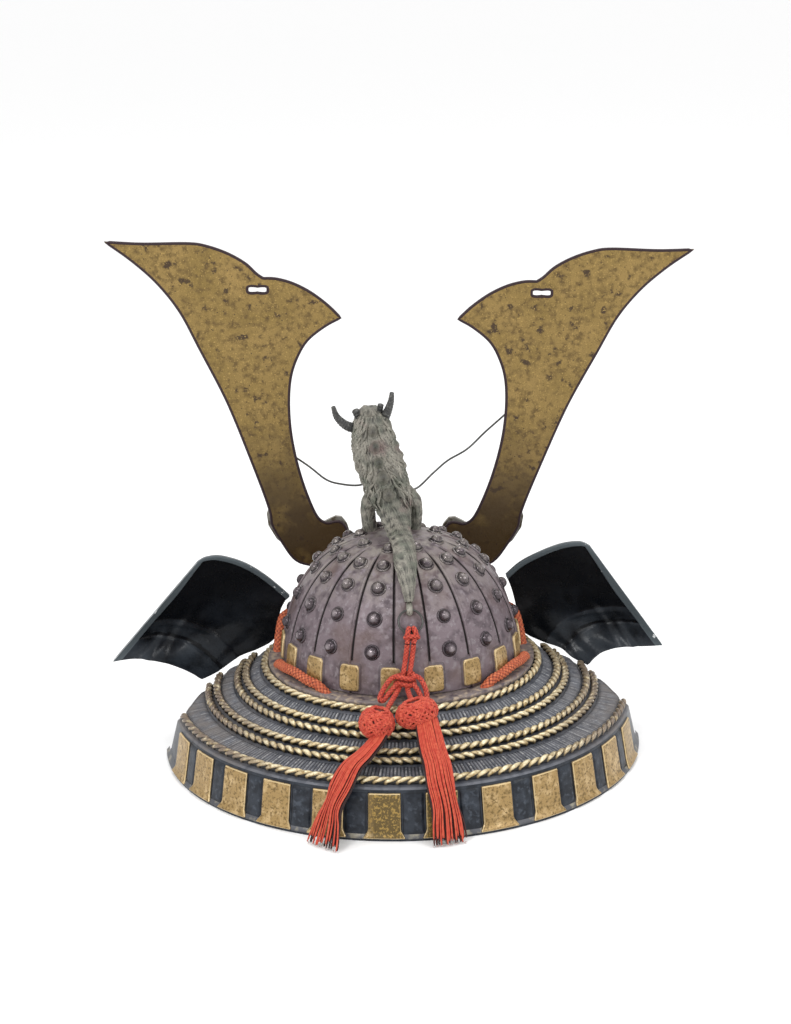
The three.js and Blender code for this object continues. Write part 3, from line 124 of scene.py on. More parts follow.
def curve_through(points, count, closed=False):
    """Evenly spaced points along a smooth line through the given ones."""
    p = np.asarray(points, float)
    n = len(p)
    spans = n if closed else n - 1
    t = np.linspace(0, spans, spans * 24 + 1)
    k = np.minimum(t.astype(int), spans - 1)
    f = (t - k)[:, None]

    def at(i):
        return p[i % n] if closed else p[np.clip(i, 0, n - 1)]

    a, b, c, d = at(k - 1), at(k), at(k + 1), at(k + 2)
    dense = 0.5 * (2 * b + (c - a) * f + (2 * a - 5 * b + 4 * c - d) * f**2
                   + (3 * b - a - 3 * c + d) * f**3)
    length = np.concatenate([[0], np.cumsum(np.linalg.norm(np.diff(dense, axis=0), axis=1))])
    wanted = np.linspace(0, length[-1], count)
    return np.stack([np.interp(wanted, length, dense[:, i]) for i in range(3)], -1)


def full_turn(count):
    """Evenly spaced angles of one turn, the last one short of closing it."""
    return np.linspace(0, 2 * np.pi, count, endpoint=False)


def swept(rows, count):
    """Path through the first three columns, and the other columns at each of its points."""
    rows = np.array(rows, float)
    spot = np.linspace(0, len(rows) - 1, count)
    return (curve_through(rows[:, :3], count),
            *(np.interp(spot, range(len(rows)), column) for column in rows[:, 3:].T))


def along_path(path):
    """Distance along a path at each of its points."""
    return np.concatenate([[0], np.cumsum(np.linalg.norm(np.diff(path, axis=0), axis=1))])


def frames_of(path, closed=False):
    """Two directions square to a path at each of its points, carried along without twist."""
    if closed:
        tangent = np.roll(path, -1, 0) - np.roll(path, 1, 0)
    else:
        tangent = np.gradient(path, axis=0)
    tangent /= np.linalg.norm(tangent, axis=1)[:, None]
    side = np.cross(tangent[0], (0, 0, 1))
    if np.linalg.norm(side) < 0.1:
        side = np.cross(tangent[0], (1, 0, 0))
    sides = []
    for t in tangent:
        side = side - side.dot(t) * t
        side /= np.linalg.norm(side)
        sides.append(side)
    sides = np.array(sides)
    return sides, np.cross(tangent, sides)


def polar(azimuth, radius, height):
    a = np.radians(azimuth)
    radius, height = np.broadcast_arrays(radius, height)
    return np.stack([radius * np.sin(a), -radius * np.cos(a), height + 0 * a], -1)


def twist(s, phi, strands, pitch):
    """Share of the full radius of a rope laid from round strands."""
    u = strands * (phi / (2 * np.pi) + s / pitch)
    x = (u - np.floor(u) - 0.5) * 2
    return 0.72 + 0.28 * np.sqrt(np.clip(1 - x * x, 0, 1))


def braid(s, phi, around, cell):
    """Share of the full radius of a cord braided from flat strands."""
    u = around * phi / (2 * np.pi)
    a = (u + s / cell) / 2
    b = (u - s / cell) / 2
    over = (np.floor(a * 2) + np.floor(b * 2)) % 2 < 1
    x = np.where(over, a, b) * 2
    x = (x - np.floor(x) - 0.5) * 2
    y = np.where(over, b, a) * 2
    y = (y - np.floor(y) - 0.5) * 2
    return 0.7 + 0.3 * np.sqrt(np.clip(1 - x * x, 0, 1)) * (1 - 0.5 * y * y)


class Shape:
    """Collects grids and tubes, with a relief value from 0 to 1 at each vertex."""

    def __init__(self):
        self.points, self.faces, self.relief, self.slots = [], [], [], []
        self.count = 0

    def add(self, points, faces, relief=1.0, slot=0):
        points = np.asarray(points, float).reshape(-1, 3)
        self.points.append(points)
        self.relief.append(np.broadcast_to(np.asarray(relief, float).ravel(), len(points))
                           if np.size(relief) == 1 else np.asarray(relief, float).ravel())
        self.faces.extend((np.asarray(faces) + self.count).tolist())
        self.slots.extend([slot] * len(faces))
        self.count += len(points)

    def grid(self, points, relief=1.0, slot=0, close_rows=False, close_columns=False):
        rows, columns = points.shape[:2]
        index = np.arange(rows * columns).reshape(rows, columns)
        if close_rows:
            index = np.vstack([index, index[:1]])
        if close_columns:
            index = np.hstack([index, index[:, :1]])
        quads = np.stack([index[:-1, :-1], index[:-1, 1:], index[1:, 1:], index[1:, :-1]], -1)
        self.add(points, quads.reshape(-1, 4), relief, slot)

    def tube(self, path, radius, sides=10, relief=1.0, slot=0, closed=False, pattern=None):
        """A round tube; radius is one number or one for each point of the path."""
        side, up = frames_of(path, closed)
        phi = full_turn(sides)
        radius = np.broadcast_to(radius, len(path))[:, None]
        share = np.ones((len(path), sides))
        if pattern is not None:
            share = pattern(along_path(path)[:, None], phi[None, :])
            relief = (share - share.min()) / max(1e-6, share.max() - share.min())
        ring = radius * share
        points = (path[:, None] + (ring * np.cos(phi))[..., None] * side[:, None]
                  + (ring * np.sin(phi))[..., None] * up[:, None])
        if not closed:
            points = np.concatenate([path[None, :1].repeat(sides, 1), points,
                                     path[None, -1:].repeat(sides, 1)])
            if np.size(relief) > 1:
                relief = np.concatenate([relief[:1], relief, relief[-1:]])
        self.grid(points, relief, slot, close_rows=closed, close_columns=True)

    def build(self, name, materials, replaces):
        mesh = bpy.data.meshes.new(name)
        mesh.from_pydata(to_row(np.concatenate(self.points)).tolist(), [], self.faces)
        mesh.validate()
        relief = mesh.attributes.new("relief", "FLOAT", "POINT")
        relief.data.foreach_set("value", np.concatenate(self.relief).astype(np.float32))
        for m in materials:
            mesh.materials.append(m)
        if len(materials) > 1 and len(mesh.polygons) == len(self.slots):
            mesh.polygons.foreach_set("material_index", self.slots)
        mesh.polygons.foreach_set("use_smooth", [True] * len(mesh.polygons))
        obj = bpy.data.objects.new(name, mesh)
        bpy.context.scene.collection.objects.link(obj)
        return join_frame(obj, replaces)


def join_frame(obj, replaces):
    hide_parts(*replaces)
    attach(obj, "root")
    return obj


# Materials

def linear(code):
    value = [int(code[i:i + 2], 16) / 255 for i in (1, 3, 5)]
    return [c / 12.92 if c <= 0.04045 else ((c + 0.055) / 1.055) ** 2.4 for c in value] + [1]


class Finish:
    """A node material: colours mixed by noise, relief and speckles, with a bump."""

    def __init__(self, name, colour, roughness=0.5, metallic=0.0, specular=0.5):
        self.material = bpy.data.materials.new(name)
        self.material.use_nodes = True
        self.tree = self.material.node_tree
        self.shader = self.tree.nodes["Principled BSDF"]
        self.shader.inputs["Roughness"].default_value = roughness
        self.shader.inputs["Metallic"].default_value = metallic
        self.shader.inputs["Specular IOR Level"].default_value = specular
        self.shader.inputs["Base Color"].default_value = linear(colour)
        self.colour = None
        self.plain = linear(colour)
        self.where = self.tree.nodes.new("ShaderNodeTexCoord").outputs["Object"]
        self.height = None

    def node(self, kind, **values):
        node = self.tree.nodes.new(kind)
        for key, value in values.items():
            if hasattr(node, key):
                setattr(node, key, value)
            else:
                node.inputs[key.replace("_", " ")].default_value = value
        return node

    def join(self, output, node, socket):
        self.tree.links.new(output, node.inputs[socket])
        return node

    def noise(self, scale, detail, low, high):
        noise = self.node("ShaderNodeTexNoise", Scale=scale, Detail=detail)
        self.join(self.where, noise, "Vector")
        return self.range(noise.outputs["Fac"], low, high)

    def cells(self, scale, low, high):
        cells = self.node("ShaderNodeTexVoronoi", Scale=scale)
        self.join(self.where, cells, "Vector")
        return self.range(cells.outputs["Distance"], low, high)

    def range(self, output, low, high, to_low=0.0, to_high=1.0):
        node = self.node("ShaderNodeMapRange")
        node.inputs["From Min"].default_value = low
        node.inputs["From Max"].default_value = high
        node.inputs["To Min"].default_value = to_low
        node.inputs["To Max"].default_value = to_high
        self.join(output, node, "Value")
        return node.outputs["Result"]

    def relief(self, low, high):
        attribute = self.node("ShaderNodeAttribute", attribute_name="relief")
        return self.range(attribute.outputs["Fac"], low, high)

    def axis(self, name, low, high):
        split = self.node("ShaderNodeSeparateXYZ")
        self.join(self.where, split, "Vector")
        return self.range(split.outputs[name], low * 0.001, high * 0.001)

    def spread(self, low, high):
        """0 near the middle of the helmet's width and 1 out to its sides."""
        split = self.node("ShaderNodeSeparateXYZ")
        self.join(self.where, split, "Vector")
        size = self.node("ShaderNodeMath", operation="ABSOLUTE")
        self.join(split.outputs["X"], size, 0)
        return self.range(size.outputs[0], low * 0.001, high * 0.001)

    def times(self, one, two):
        node = self.node("ShaderNodeMath", operation="MULTIPLY")
        self.join(one, node, 0)
        self.join(two, node, 1)
        return node.outputs[0]

    def over(self, code, factor):
        """Lays a colour over what is there, where factor is 1."""
        mix = self.node("ShaderNodeMix", data_type="RGBA")
        if self.colour is None:
            mix.inputs[6].default_value = self.plain
        else:
            self.tree.links.new(self.colour, mix.inputs[6])
        mix.inputs[7].default_value = linear(code)
        self.tree.links.new(factor, mix.inputs[0])
        self.colour = mix.outputs[2]
        return self

    def mottle(self, code, scale, detail, low, high):
        """Lays a colour over in blotches of noise."""
        return self.over(code, self.noise(scale, detail, low, high))

    def rough(self, factor, low, high):
        self.join(self.range(factor, 0, 1, low, high), self.shader, "Roughness")
        return self

    def grit(self, scale, detail, strength, distance):
        """Raises the surface in a grain of noise; distance is in millimetres."""
        node = self.node("ShaderNodeBump", Strength=strength, Distance=distance * 0.001)
        self.join(self.noise(scale, detail, 0.2, 0.8), node, "Height")
        if self.height is not None:
            self.join(self.height, node, "Normal")
        self.height = node.outputs["Normal"]
        return self

    def done(self):
        if self.colour is not None:
            self.join(self.colour, self.shader, "Base Color")
        if self.height is not None:
            self.join(self.height, self.shader, "Normal")
        return self.material


def bowl_finish():
    f = Finish("bowl_patina_painted_shade", "#6f6368", 0.45, 0.2, 0.3)
    f.over("#8d877f", f.times(f.axis("Z", 66, 92), f.noise(90, 7, 0.3, 0.62)))
    f.mottle("#4f454a", 240, 8, 0.47, 0.68)
    f.mottle("#7d7478", 420, 9, 0.54, 0.66)
    f.mottle("#9f989a", 1100, 4, 0.66, 0.76)
    f.mottle("#645350", 60, 4, 0.5, 0.72)
    # Painted shade: near-black where the relief is low, in the grooves beside the seams and round the
    # middle plate, at the foot of the pads' frames and over the inside shell
    f.over("#15100f", f.relief(0.92, 0.6))
    f.grit(500, 6, 0.4, 0.4)
    f.grit(2200, 3, 0.35, 0.14)
    f.rough(f.noise(300, 4, 0.3, 0.7), 0.36, 0.58)
    return f.done()


def rivet_finish():
    f = Finish("rivet_patina_painted_light", "#453c41", 0.22, 0.5)
    # Painted highlight: paler towards the top of each dome
    f.over("#8a8083", f.relief(0.8, 1.0))
    f.over("#77716c", f.times(f.axis("Z", 66, 92), f.noise(500, 4, 0.35, 0.6)))
    # Painted shade: near-black at the foot of each rivet and in the crease where the dome meets its
    # base ring
    f.over("#1d181b", f.relief(0.52, 0.32))
    f.grit(900, 5, 0.5, 0.3)
    return f.done()


def slate_finish():
    f = Finish("slate_patina_painted_light", "#5d5f66", 0.5, 0.2)
    f.mottle("#44474f", 260, 6, 0.42, 0.62)
    # Painted highlight on the tops of the ribs, in patches
    f.over("#a6a6a6", f.times(f.relief(0.62, 0.95), f.noise(900, 5, 0.4, 0.62)))
    f.over("#66615f", f.times(f.spread(52, 84), f.noise(160, 5, 0.3, 0.6)))
    # Painted shade: near-black in the gaps between the ribs and towards the edges of the bands
    f.over("#17181b", f.relief(0.42, 0.12))
    f.grit(1300, 6, 0.3, 0.2)
    f.rough(f.noise(300, 4, 0.3, 0.7), 0.4, 0.62)
    return f.done()


def ledge_finish():
    f = Finish("ledge_patina", "#756a68", 0.5, 0.2)
    f.mottle("#4f454a", 300, 6, 0.5, 0.66)
    f.mottle("#a0907e", 420, 6, 0.5, 0.66)
    f.grit(1200, 6, 0.3, 0.2)
    return f.done()


def gilt_rope_finish():
    f = Finish("rope_gilt", "#a48f66", 0.34, 0.35)
    # Painted highlight: pale cream on the raised grains, in patches
    f.over("#e6dab8", f.times(f.relief(0.45, 0.85), f.noise(500, 5, 0.32, 0.55)))
    f.mottle("#8a7248", 700, 5, 0.54, 0.68)
    f.over("#75675a", f.times(f.spread(48, 76), f.noise(300, 5, 0.28, 0.5)))
    # Painted shade: near-black in the gaps between the grains
    f.over("#15120f", f.relief(0.5, 0.15))
    f.grit(1800, 5, 0.3, 0.15)
    return f.done()


def gilt_block_finish():
    f = Finish("block_gilt", "#967b4c", 0.36, 0.35)
    f.mottle("#b89d70", 260, 5, 0.48, 0.66)
    f.mottle("#6a542c", 900, 7, 0.5, 0.64)
    middle = f.times(f.range(f.spread(19, 24), 1, 0), f.axis("Z", 30, 26))
    f.over("#584722", middle)
    f.over("#95793c", f.times(middle, f.noise(1100, 6, 0.5, 0.6)))
    # Painted highlight on the rounded edges of the blocks and pads
    f.over("#d0b98d", f.times(f.relief(0.96, 0.84), f.relief(0.5, 0.8)))
    f.over("#33291a", f.range(f.cells(1300, 0.1, 0.2), 1, 0))
    # Painted shade: near-black at the foot of the blocks and pads
    f.over("#14161a", f.relief(0.62, 0.3))
    f.grit(1500, 5, 0.4, 0.2)
    return f.done()


def navy_finish():
    f = Finish("lame_navy", "#2a2f37", 0.34, 0.0, 0.25)
    f.mottle("#191d24", 240, 6, 0.42, 0.6)
    f.over("#3d434c", f.times(f.relief(0.6, 0.95), f.noise(500, 6, 0.54, 0.68)))
    # Painted shade: near-black round the edges of the navy panels
    f.over("#0c0d10", f.relief(0.4, 0.1))
    f.grit(700, 6, 0.3, 0.25)
    return f.done()


def brass_finish():
    f = Finish("crest_brass", "#7a6431", 0.42, 0.35)
    f.mottle("#8c7340", 45, 5, 0.35, 0.68)
    f.mottle("#5f4b24", 420, 7, 0.46, 0.66)
    f.over("#443319", f.times(f.axis("Z", 128, 84), f.noise(60, 6, 0.18, 0.5)))
    f.mottle("#3b2b18", 210, 7, 0.62, 0.68)
    f.over("#a1864a", f.times(f.axis("Z", 96, 130), f.noise(1500, 4, 0.58, 0.7)))
    f.mottle("#4a371b", 1900, 4, 0.58, 0.7)
    f.over("#33231a", f.range(f.cells(360, 0.07, 0.11), 1, 0))
    normal = f.node("ShaderNodeNewGeometry")
    split = f.node("ShaderNodeSeparateXYZ")
    f.join(normal.outputs["Normal"], split, "Vector")
    size = f.node("ShaderNodeMath", operation="ABSOLUTE")
    f.join(split.outputs["Y"], size, 0)
    f.over("#2c1f26", f.range(size.outputs[0], 0.93, 0.7))
    f.grit(500, 7, 0.2, 0.3)
    f.rough(f.noise(200, 4, 0.3, 0.7), 0.36, 0.55)
    return f.done()


def mount_finish():
    f = Finish("mount_silvery", "#8b8880", 0.4, 0.4)
    f.mottle("#5a5040", 300, 6, 0.45, 0.62)
    f.grit(900, 5, 0.25, 0.2)
    return f.done()


def black_finish():
    f = Finish("wing_black", "#07090d", 0.24, 0.0, 0.16)
    f.over("#23282f", f.times(f.noise(50, 7, 0.47, 0.72), f.axis("Z", 66, 34)))
    f.over("#30353b", f.times(f.relief(0.85, 0.5), f.noise(110, 6, 0.3, 0.72)))
    f.over("#4b5256", f.relief(0.28, 0.14))
    f.over("#c9cccd", f.times(f.relief(0.28, 0.14), f.noise(340, 3, 0.7, 0.73)))
    f.grit(160, 5, 0.35, 0.7)
    f.grit(900, 4, 0.15, 0.15)
    f.rough(f.noise(200, 5, 0.3, 0.7), 0.18, 0.4)
    return f.done()


def dragon_finish():
    f = Finish("dragon_patina_painted_shade", "#827e74", 0.55, 0.1)
    f.mottle("#626459", 160, 6, 0.45, 0.62)
    f.over("#a8a498", f.times(f.relief(0.6, 1.0), f.noise(420, 6, 0.42, 0.64)))
    f.mottle("#7b6663", 90, 5, 0.6, 0.76)
    # Painted shade: near-black in the grooves between the fur ridges
    f.over("#2a2926", f.relief(0.42, 0.04))
    f.mottle("#4a4a44", 1500, 5, 0.55, 0.68)
    f.grit(900, 7, 0.5, 0.5)
    f.grit(2600, 5, 0.4, 0.2)
    return f.done()


def cord_finish(name, colour, light, dark):
    f = Finish(name, colour, 0.7, 0.0)
    # Painted highlight: the lighter colour on the raised strands, in patches
    f.over(light, f.times(f.relief(0.55, 0.95), f.noise(700, 4, 0.36, 0.6)))
    # Painted shade: the dark colour in the gaps between the strands
    f.over(dark, f.relief(0.66, 0.2))
    f.grit(4000, 3, 0.3, 0.1)
    f.shader.inputs["Sheen Weight"].default_value = 0.05
    return f.done()


BOWL_METAL = bowl_finish()
RIVET_METAL = rivet_finish()
SLATE = slate_finish()
LEDGE_METAL = ledge_finish()
ROPE_GILT = gilt_rope_finish()
BLOCK_GILT = gilt_block_finish()
NAVY = navy_finish()
BRASS = brass_finish()
MOUNT_METAL = mount_finish()
BLACK = black_finish()
DRAGON_METAL = dragon_finish()
RED = cord_finish("cord_red", "#a8301f", "#c8573c", "#300805")
ORANGE = cord_finish("cord_orange", "#a34726", "#c9744a", "#381006")
THREAD = cord_finish("thread_red", "#ae3420", "#c65a3c", "#260603")
WIRE_METAL = Finish("wire_dark", "#4c4c4a", 0.35, 0.85).done()
HORN_DARK = Finish("horn_charcoal", "#3a3a3a", 0.5, 0.2).mottle("#6a6a66", 900, 5, 0.5, 0.7).done()
CORE = Finish("head_core", "#5a1a12", 0.6, 0.0).mottle("#a48a5c", 190, 3, 0.56, 0.6).done()
EDGE_DARK = Finish("crest_rim", "#2e2024", 0.5, 0.2, 0.3).done()
FOOT_METAL = Finish("foot_grey", "#4c4d52", 0.45, 0.3).mottle("#8a8577", 260, 5, 0.5, 0.66).done()
FRAY = Finish("thread_fray", "#b9a09c", 0.8, 0.0).done()


# Bowl

def bowl_radius(share):
    return BOWL_RADIUS * np.clip(1 - np.clip(share, 0, 1) ** 1.88, 0, 1) ** (1 / 2.63)


def on_bowl(azimuth, share, lift=0.0):
    azimuth, share, lift = np.broadcast_arrays(azimuth, share, lift)
    low = np.clip(share - 0.004, 0, 1)
    high = np.clip(share + 0.004, 0, 1)
    rise = (high - low) * BOWL_RISE
    inward = bowl_radius(low) - bowl_radius(high)
    length = np.hypot(rise, inward)
    radius = bowl_radius(share) + lift * rise / length
    return polar(azimuth + BOWL_TURN, radius, BOWL_BASE + share * BOWL_RISE
                 + lift * inward / length)


def step(x, low, high):
    t = np.clip((x - low) / (high - low), 0, 1)
    return t * t * (3 - 2 * t)


def bowl_lift(azimuth, share):
    """Lift and relief of the plates and their seams over the smooth bowl."""
    a = np.abs((azimuth + 180) % 360 - 180)
    front = np.where(a > 165, 180 - a, a)
    arc = np.radians(1) * np.maximum(bowl_radius(share), 3)
    plate = 1 - step((front - CENTRE_PLATE) * arc, -0.5, 0.2)
    offset = (a - CENTRE_PLATE) / PLATE_ANGLE
    near = (offset - np.round(offset)) * PLATE_ANGLE * arc
    seam = np.exp(-((near / 0.55) ** 2)) * 0.75 * (offset > 0.4) * (front > 20)
    groove = np.exp(-(((near + 0.95) / 0.3) ** 2)) * 0.6 * (offset > 0.4) * (front > 20)
    groove = groove + np.exp(-((((front - CENTRE_PLATE) * arc - 0.55) / 0.35) ** 2)) * 0.6
    fade = step(1 - share, 0.0, 0.12)
    lift = (plate + seam - groove) * fade
    # The relief drops in the grooves, where the bowl's finish paints shade
    return lift, np.clip(1 - 1.5 * groove * fade, 0, 1)


def make_bowl():
    shape = Shape()
    seams = [side * (CENTRE_PLATE + k * PLATE_ANGLE) for k in range(8) for side in (-1, 1)]
    near = [seam + offset for seam in seams for offset in np.linspace(-2.4, 2.4, 17)]
    azimuth = np.unique(np.round(np.concatenate([np.arange(0, 360, 1.5), np.mod(near, 360)]), 3))
    share = np.concatenate([np.linspace(0, 0.9, 52), np.linspace(0.9, 0.999, 16)[1:]])
    a, s = np.meshgrid(azimuth, share)
    lift, relief = bowl_lift(a, s)
    shape.grid(on_bowl(a, s, lift), relief, 0, close_columns=True)
    top = np.array([[0, 0, BOWL_TOP]])
    ring = on_bowl(azimuth, 0.999, 0)
    shape.grid(np.stack([ring, np.repeat(top, len(azimuth), 0)]), 1.0, 0, close_columns=True)
    inner = np.linspace(0, 0.985, 24)
    a, s = np.meshgrid(azimuth[::6], inner)
    inside = on_bowl(a, s, 0) * [0.94, 0.94, 1] - [0, 0, 2.4]
    inside[0, :, 2] = BOWL_BASE
    foot = on_bowl(azimuth[::6], 0, 0)
    # Relief 0.6 makes the bowl's finish paint the inside shell near-black as shade
    shape.grid(np.concatenate([foot[None], inside]), 0.6, 0, close_columns=True)
    return shape.build("bowl_shell", [BOWL_METAL], ["bowl"])


def make_rivets():
    shape = Shape()
    profile = np.array([[3.25, -0.6], [3.2, 0.2], [3.0, 0.42], [2.7, 0.5], [2.5, 0.62], [2.38, 1.0],
                        [2.15, 1.55], [1.78, 2.05], [1.3, 2.4], [0.7, 2.6], [0.001, 2.66]])
    # Relief of each profile row: low at the foot and in the crease for painted shade, highest at the
    # top for a painted highlight
    profile_relief = np.array([0.1, 0.55, 0.6, 0.45, 0.2, 0.45, 0.62, 0.72, 0.85, 0.95, 1.0])
    phi = full_turn(22)
    for column in range(7):
        for side in (-1, 1):
            azimuth = side * (CENTRE_PLATE + (column + 0.5) * PLATE_ANGLE)
            for row in RIVET_ROWS:
                if row == RIVET_ROWS[-1] and column % 2:
                    continue
                centre = on_bowl(azimuth, row, 0)
                out = on_bowl(azimuth, row, 1) - centre
                across = polar(azimuth + BOWL_TURN + 90, 1, 0)
                up = np.cross(out, across)
                size = rng.uniform(0.94, 1.04)
                r = profile[:, 0, None] * size
                dome = (centre + (r * np.cos(phi))[..., None] * across
                        + (r * np.sin(phi))[..., None] * up
                        + profile[:, 1, None, None] * out)
                relief = np.repeat(profile_relief[:, None], len(phi), 1)
                shape.grid(dome, relief, 0, close_columns=True)
    return shape.build("bowl_rivets", [RIVET_METAL], ["bowl"])


def plaque(shape, surface, u_range, v_range, lift, slot, edge=0.12, size=(22, 22), flare=None,
           corner=0.0, edge_relief=0.0):
    """A raised block on a surface(u, v, lift), with rounded edges."""
    u = np.linspace(-1, 1, size[0])
    v = np.linspace(-1, 1, size[1])
    u = np.sign(u) * (1 - (1 - np.abs(u)) ** 1.6)
    v = np.sign(v) * (1 - (1 - np.abs(v)) ** 1.6)
    u, v = np.meshgrid(u, v)
    far = np.maximum(np.abs(u), np.abs(v))
    if corner:
        far = np.minimum(1, (np.abs(u) ** corner + np.abs(v) ** corner) ** (1 / corner))
    height = step(1 - far, 0, edge)
    middle_u = (u_range[0] + u_range[1]) / 2
    half_u = (u_range[1] - u_range[0]) / 2
    across = u * half_u
    if flare is not None:
        across = across * flare(v)
    place_v = v_range[0] + (v + 1) / 2 * (v_range[1] - v_range[0])
    # The relief is the block's height: the finishes paint shade round its foot, and the gilt one a
    # highlight on its rounded edge
    shape.grid(surface(middle_u + across, place_v, lift * height - 0.15),
               np.maximum(height, edge_relief), slot)


def make_bowl_pads():
    shape = Shape()

    def surface(azimuth, height, lift):
        return on_bowl(azimuth, (height - BOWL_BASE) / BOWL_RISE, lift)

    for i in range(PAD_COUNT):
        middle = (i + 0.5) * 360 / PAD_COUNT
        plaque(shape, surface, (middle - 6.6, middle + 6.6), (38.9, 52.2), 0.6, 1, 0.3,
               corner=8, edge_relief=0.8)
        plaque(shape, surface, (middle - 5.1, middle + 5.1), (39.6, 50.9), 1.5, 0, 0.14,
               corner=7, edge_relief=0.55)
    return shape.build("bowl_base_pads", [BLOCK_GILT, BOWL_METAL], ["bowl"])


def make_lug():
    shape = Shape()
    centre = on_bowl(0, 0.63, 1.6)
    path = curve_through([centre + [0, 2.6, 1.2], centre + [0, -0.6, 0.4], centre + [0, -1, -1.2],
                          centre + [0, 2.4, -2]], 16)
    shape.tube(path, 1.3, 14, 0.8)
    return shape.build("tail_lug", [DRAGON_METAL], ["bowl"])


# Neck guard

# Inner edge and outer edge of each band as radius and height, and the pitch of its ribs
BANDS = (((59.3, 34.0), (63.6, 31.9), 1.5), ((70.7, 28.1), (75.8, 26.8), 1.45),
         ((83.0, 23.0), (91.6, 21.8), 1.4))
# Rope radius, height, half thickness, pitch of its grains and how far each grain leans
ROPES = ((57.4, 35.6, 2.1, 4.2, 1.6), (65.5, 31.8, 2.0, 4.0, 1.1),
         (69.0, 29.5, 2.0, 4.0, -1.1), (77.8, 26.7, 2.0, 4.0, 1.1),
         (81.3, 24.4, 2.0, 4.0, -1.1), (93.4, 21.7, 2.05, 4.4, 1.6))
# Section of the guard as radius and height: the outside from the ledge down, then the inside
SKIN = ((55.6, 38.6), (55.8, 35.8), (59.1, 34.0), (59.3, 33.8), (63.6, 31.7), (64.0, 31.4),
        (67.1, 29.6), (70.4, 27.9), (70.7, 27.7), (75.8, 26.5), (76.2, 26.3), (79.4, 24.4),
        (82.8, 22.8), (83.0, 22.7), (91.6, 21.5), (92.2, 21.2), (95.1, 20.0), (95.6, 19.2),
        (98.1, 4.4), (98.7, 2.9), (99.8, 1.4), (100.0, 0.8), (99.8, 0.0), (96.1, 0.0),
        (93.1, 16.8), (79.4, 20.9), (67.1, 26.0), (57.4, 30.9), (55.3, 35.6))
SKIN_OUTSIDE = 23
LAME_START = 17
# How far round the guard goes: share of the way from the bowl to the rim, share of the sweep
GUARD_ENDS = ((0.21, 1), (0.33, 0.973), (0.47, 0.929), (0.585, 0.872), (0.704, 0.796),
              (0.783, 0.73), (0.86, 0.69), (0.91, 0.69), (1, 0.76))


def guard_end(radius):
    out = (np.asarray(radius, float) - BOWL_RADIUS) / (RIM_RADIUS - BOWL_RADIUS)
    rows = np.array(GUARD_ENDS)
    return GUARD_SWEEP * np.interp(out, rows[:, 0], rows[:, 1])


def make_guard_skin():
    shape = Shape()
    profile = np.array(SKIN)
    fine = []
    for a, b in zip(profile[:-1], profile[1:]):
        fine.extend([a, a + (b - a) * 0.06, a + (b - a) * 0.94])
    fine = np.array(fine + [profile[-1]])
    share = np.linspace(-1, 1, 217)[:, None]
    azimuth = share * guard_end(fine[:, 0])[None]
    points = polar(azimuth, fine[None, :, 0], fine[None, :, 1])
    lame = 3 * LAME_START
    shape.grid(points[:, :lame + 1], 0.5, 0)
    shape.grid(points[:, lame:], 0.5, 2)
    ledge = np.array([(45.3, 35.6), (55.6, 35.6), (55.8, 38.4), (55.5, 38.62), (45.7, 38.62),
                      (45.3, 38.3)])
    azimuth = np.arange(0, 360, 1.5)
    shape.grid(polar(azimuth[:, None], ledge[None, :, 0], ledge[None, :, 1]), 0.6, 1,
               close_rows=True, close_columns=True)
    # Faces at both ends of the sweep
    for side in (-1, 1):
        upper = np.array(SKIN[:SKIN_OUTSIDE])
        under = np.array([min(inner_height(r), z) for r, z in upper])
        turn = side * guard_end(upper[:, 0])
        shape.grid(np.stack([polar(turn, upper[:, 0], upper[:, 1]),
                             polar(turn, upper[:, 0], under)]), 0.5, 0)
    return shape.build("guard_skin", [SLATE, LEDGE_METAL, NAVY], ["neck_guard"])


def inner_height(radius):
    inner = np.array(SKIN[SKIN_OUTSIDE:][::-1])
    return float(np.interp(radius, inner[:, 0], inner[:, 1]))


def make_guard_bands():
    shape = Shape()
    for (r0, z0), (r1, z1), pitch in BANDS:
        end = guard_end(r0)
        count = round(2 * math.radians(end) * (r0 + r1) / 2 / pitch)
        azimuth = np.linspace(-end, end, count * 8 + 1)
        phase = np.linspace(0, count, len(azimuth))
        rib = np.abs(np.sin(np.pi * phase))
        number = np.floor(phase)
        wear = 0.8 + 0.2 * np.sin(number * 2.4) * np.sin(number * 0.61 + 2)
        rib = rib ** 0.7 * wear
        t = np.linspace(0, 1, 7)
        ends = np.minimum(1, 5 * np.minimum(t, 1 - t) + 0.2)
        height = 0.05 + 0.62 * rib[:, None] * ends[None]
        radius = r0 + (r1 - r0) * t[None] + 0 * height
        limit = guard_end(radius)
        points = polar(np.clip(azimuth[:, None], -limit, limit), radius,
                       z0 + (z1 - z0) * t[None] + height - 0.1)
        # Relief is high on the rib tops, where the slate finish paints highlights, and low between
        # the ribs, where it paints shade
        shape.grid(points, rib[:, None] * (0.35 + 0.65 * ends[None]), 0)
    return shape.build("guard_ribbed_bands", [SLATE], ["neck_guard"])


def grain(s, phi, pitch, lean):
    """Height of slanting seed-shaped grains laid along a rope, 0 in the gaps between them."""
    across = np.clip(phi / np.pi, 0, 1)
    u = s / pitch + lean * (across - 0.5)
    number = np.floor(u)
    x = (u - number - 0.5) * 2
    y = 2 * across - 1
    size = 0.92 + 0.08 * np.sin(number * 2.7)
    return size * np.clip(1.05 - x * x - 0.9 * y * y, 0, 1) ** 0.6


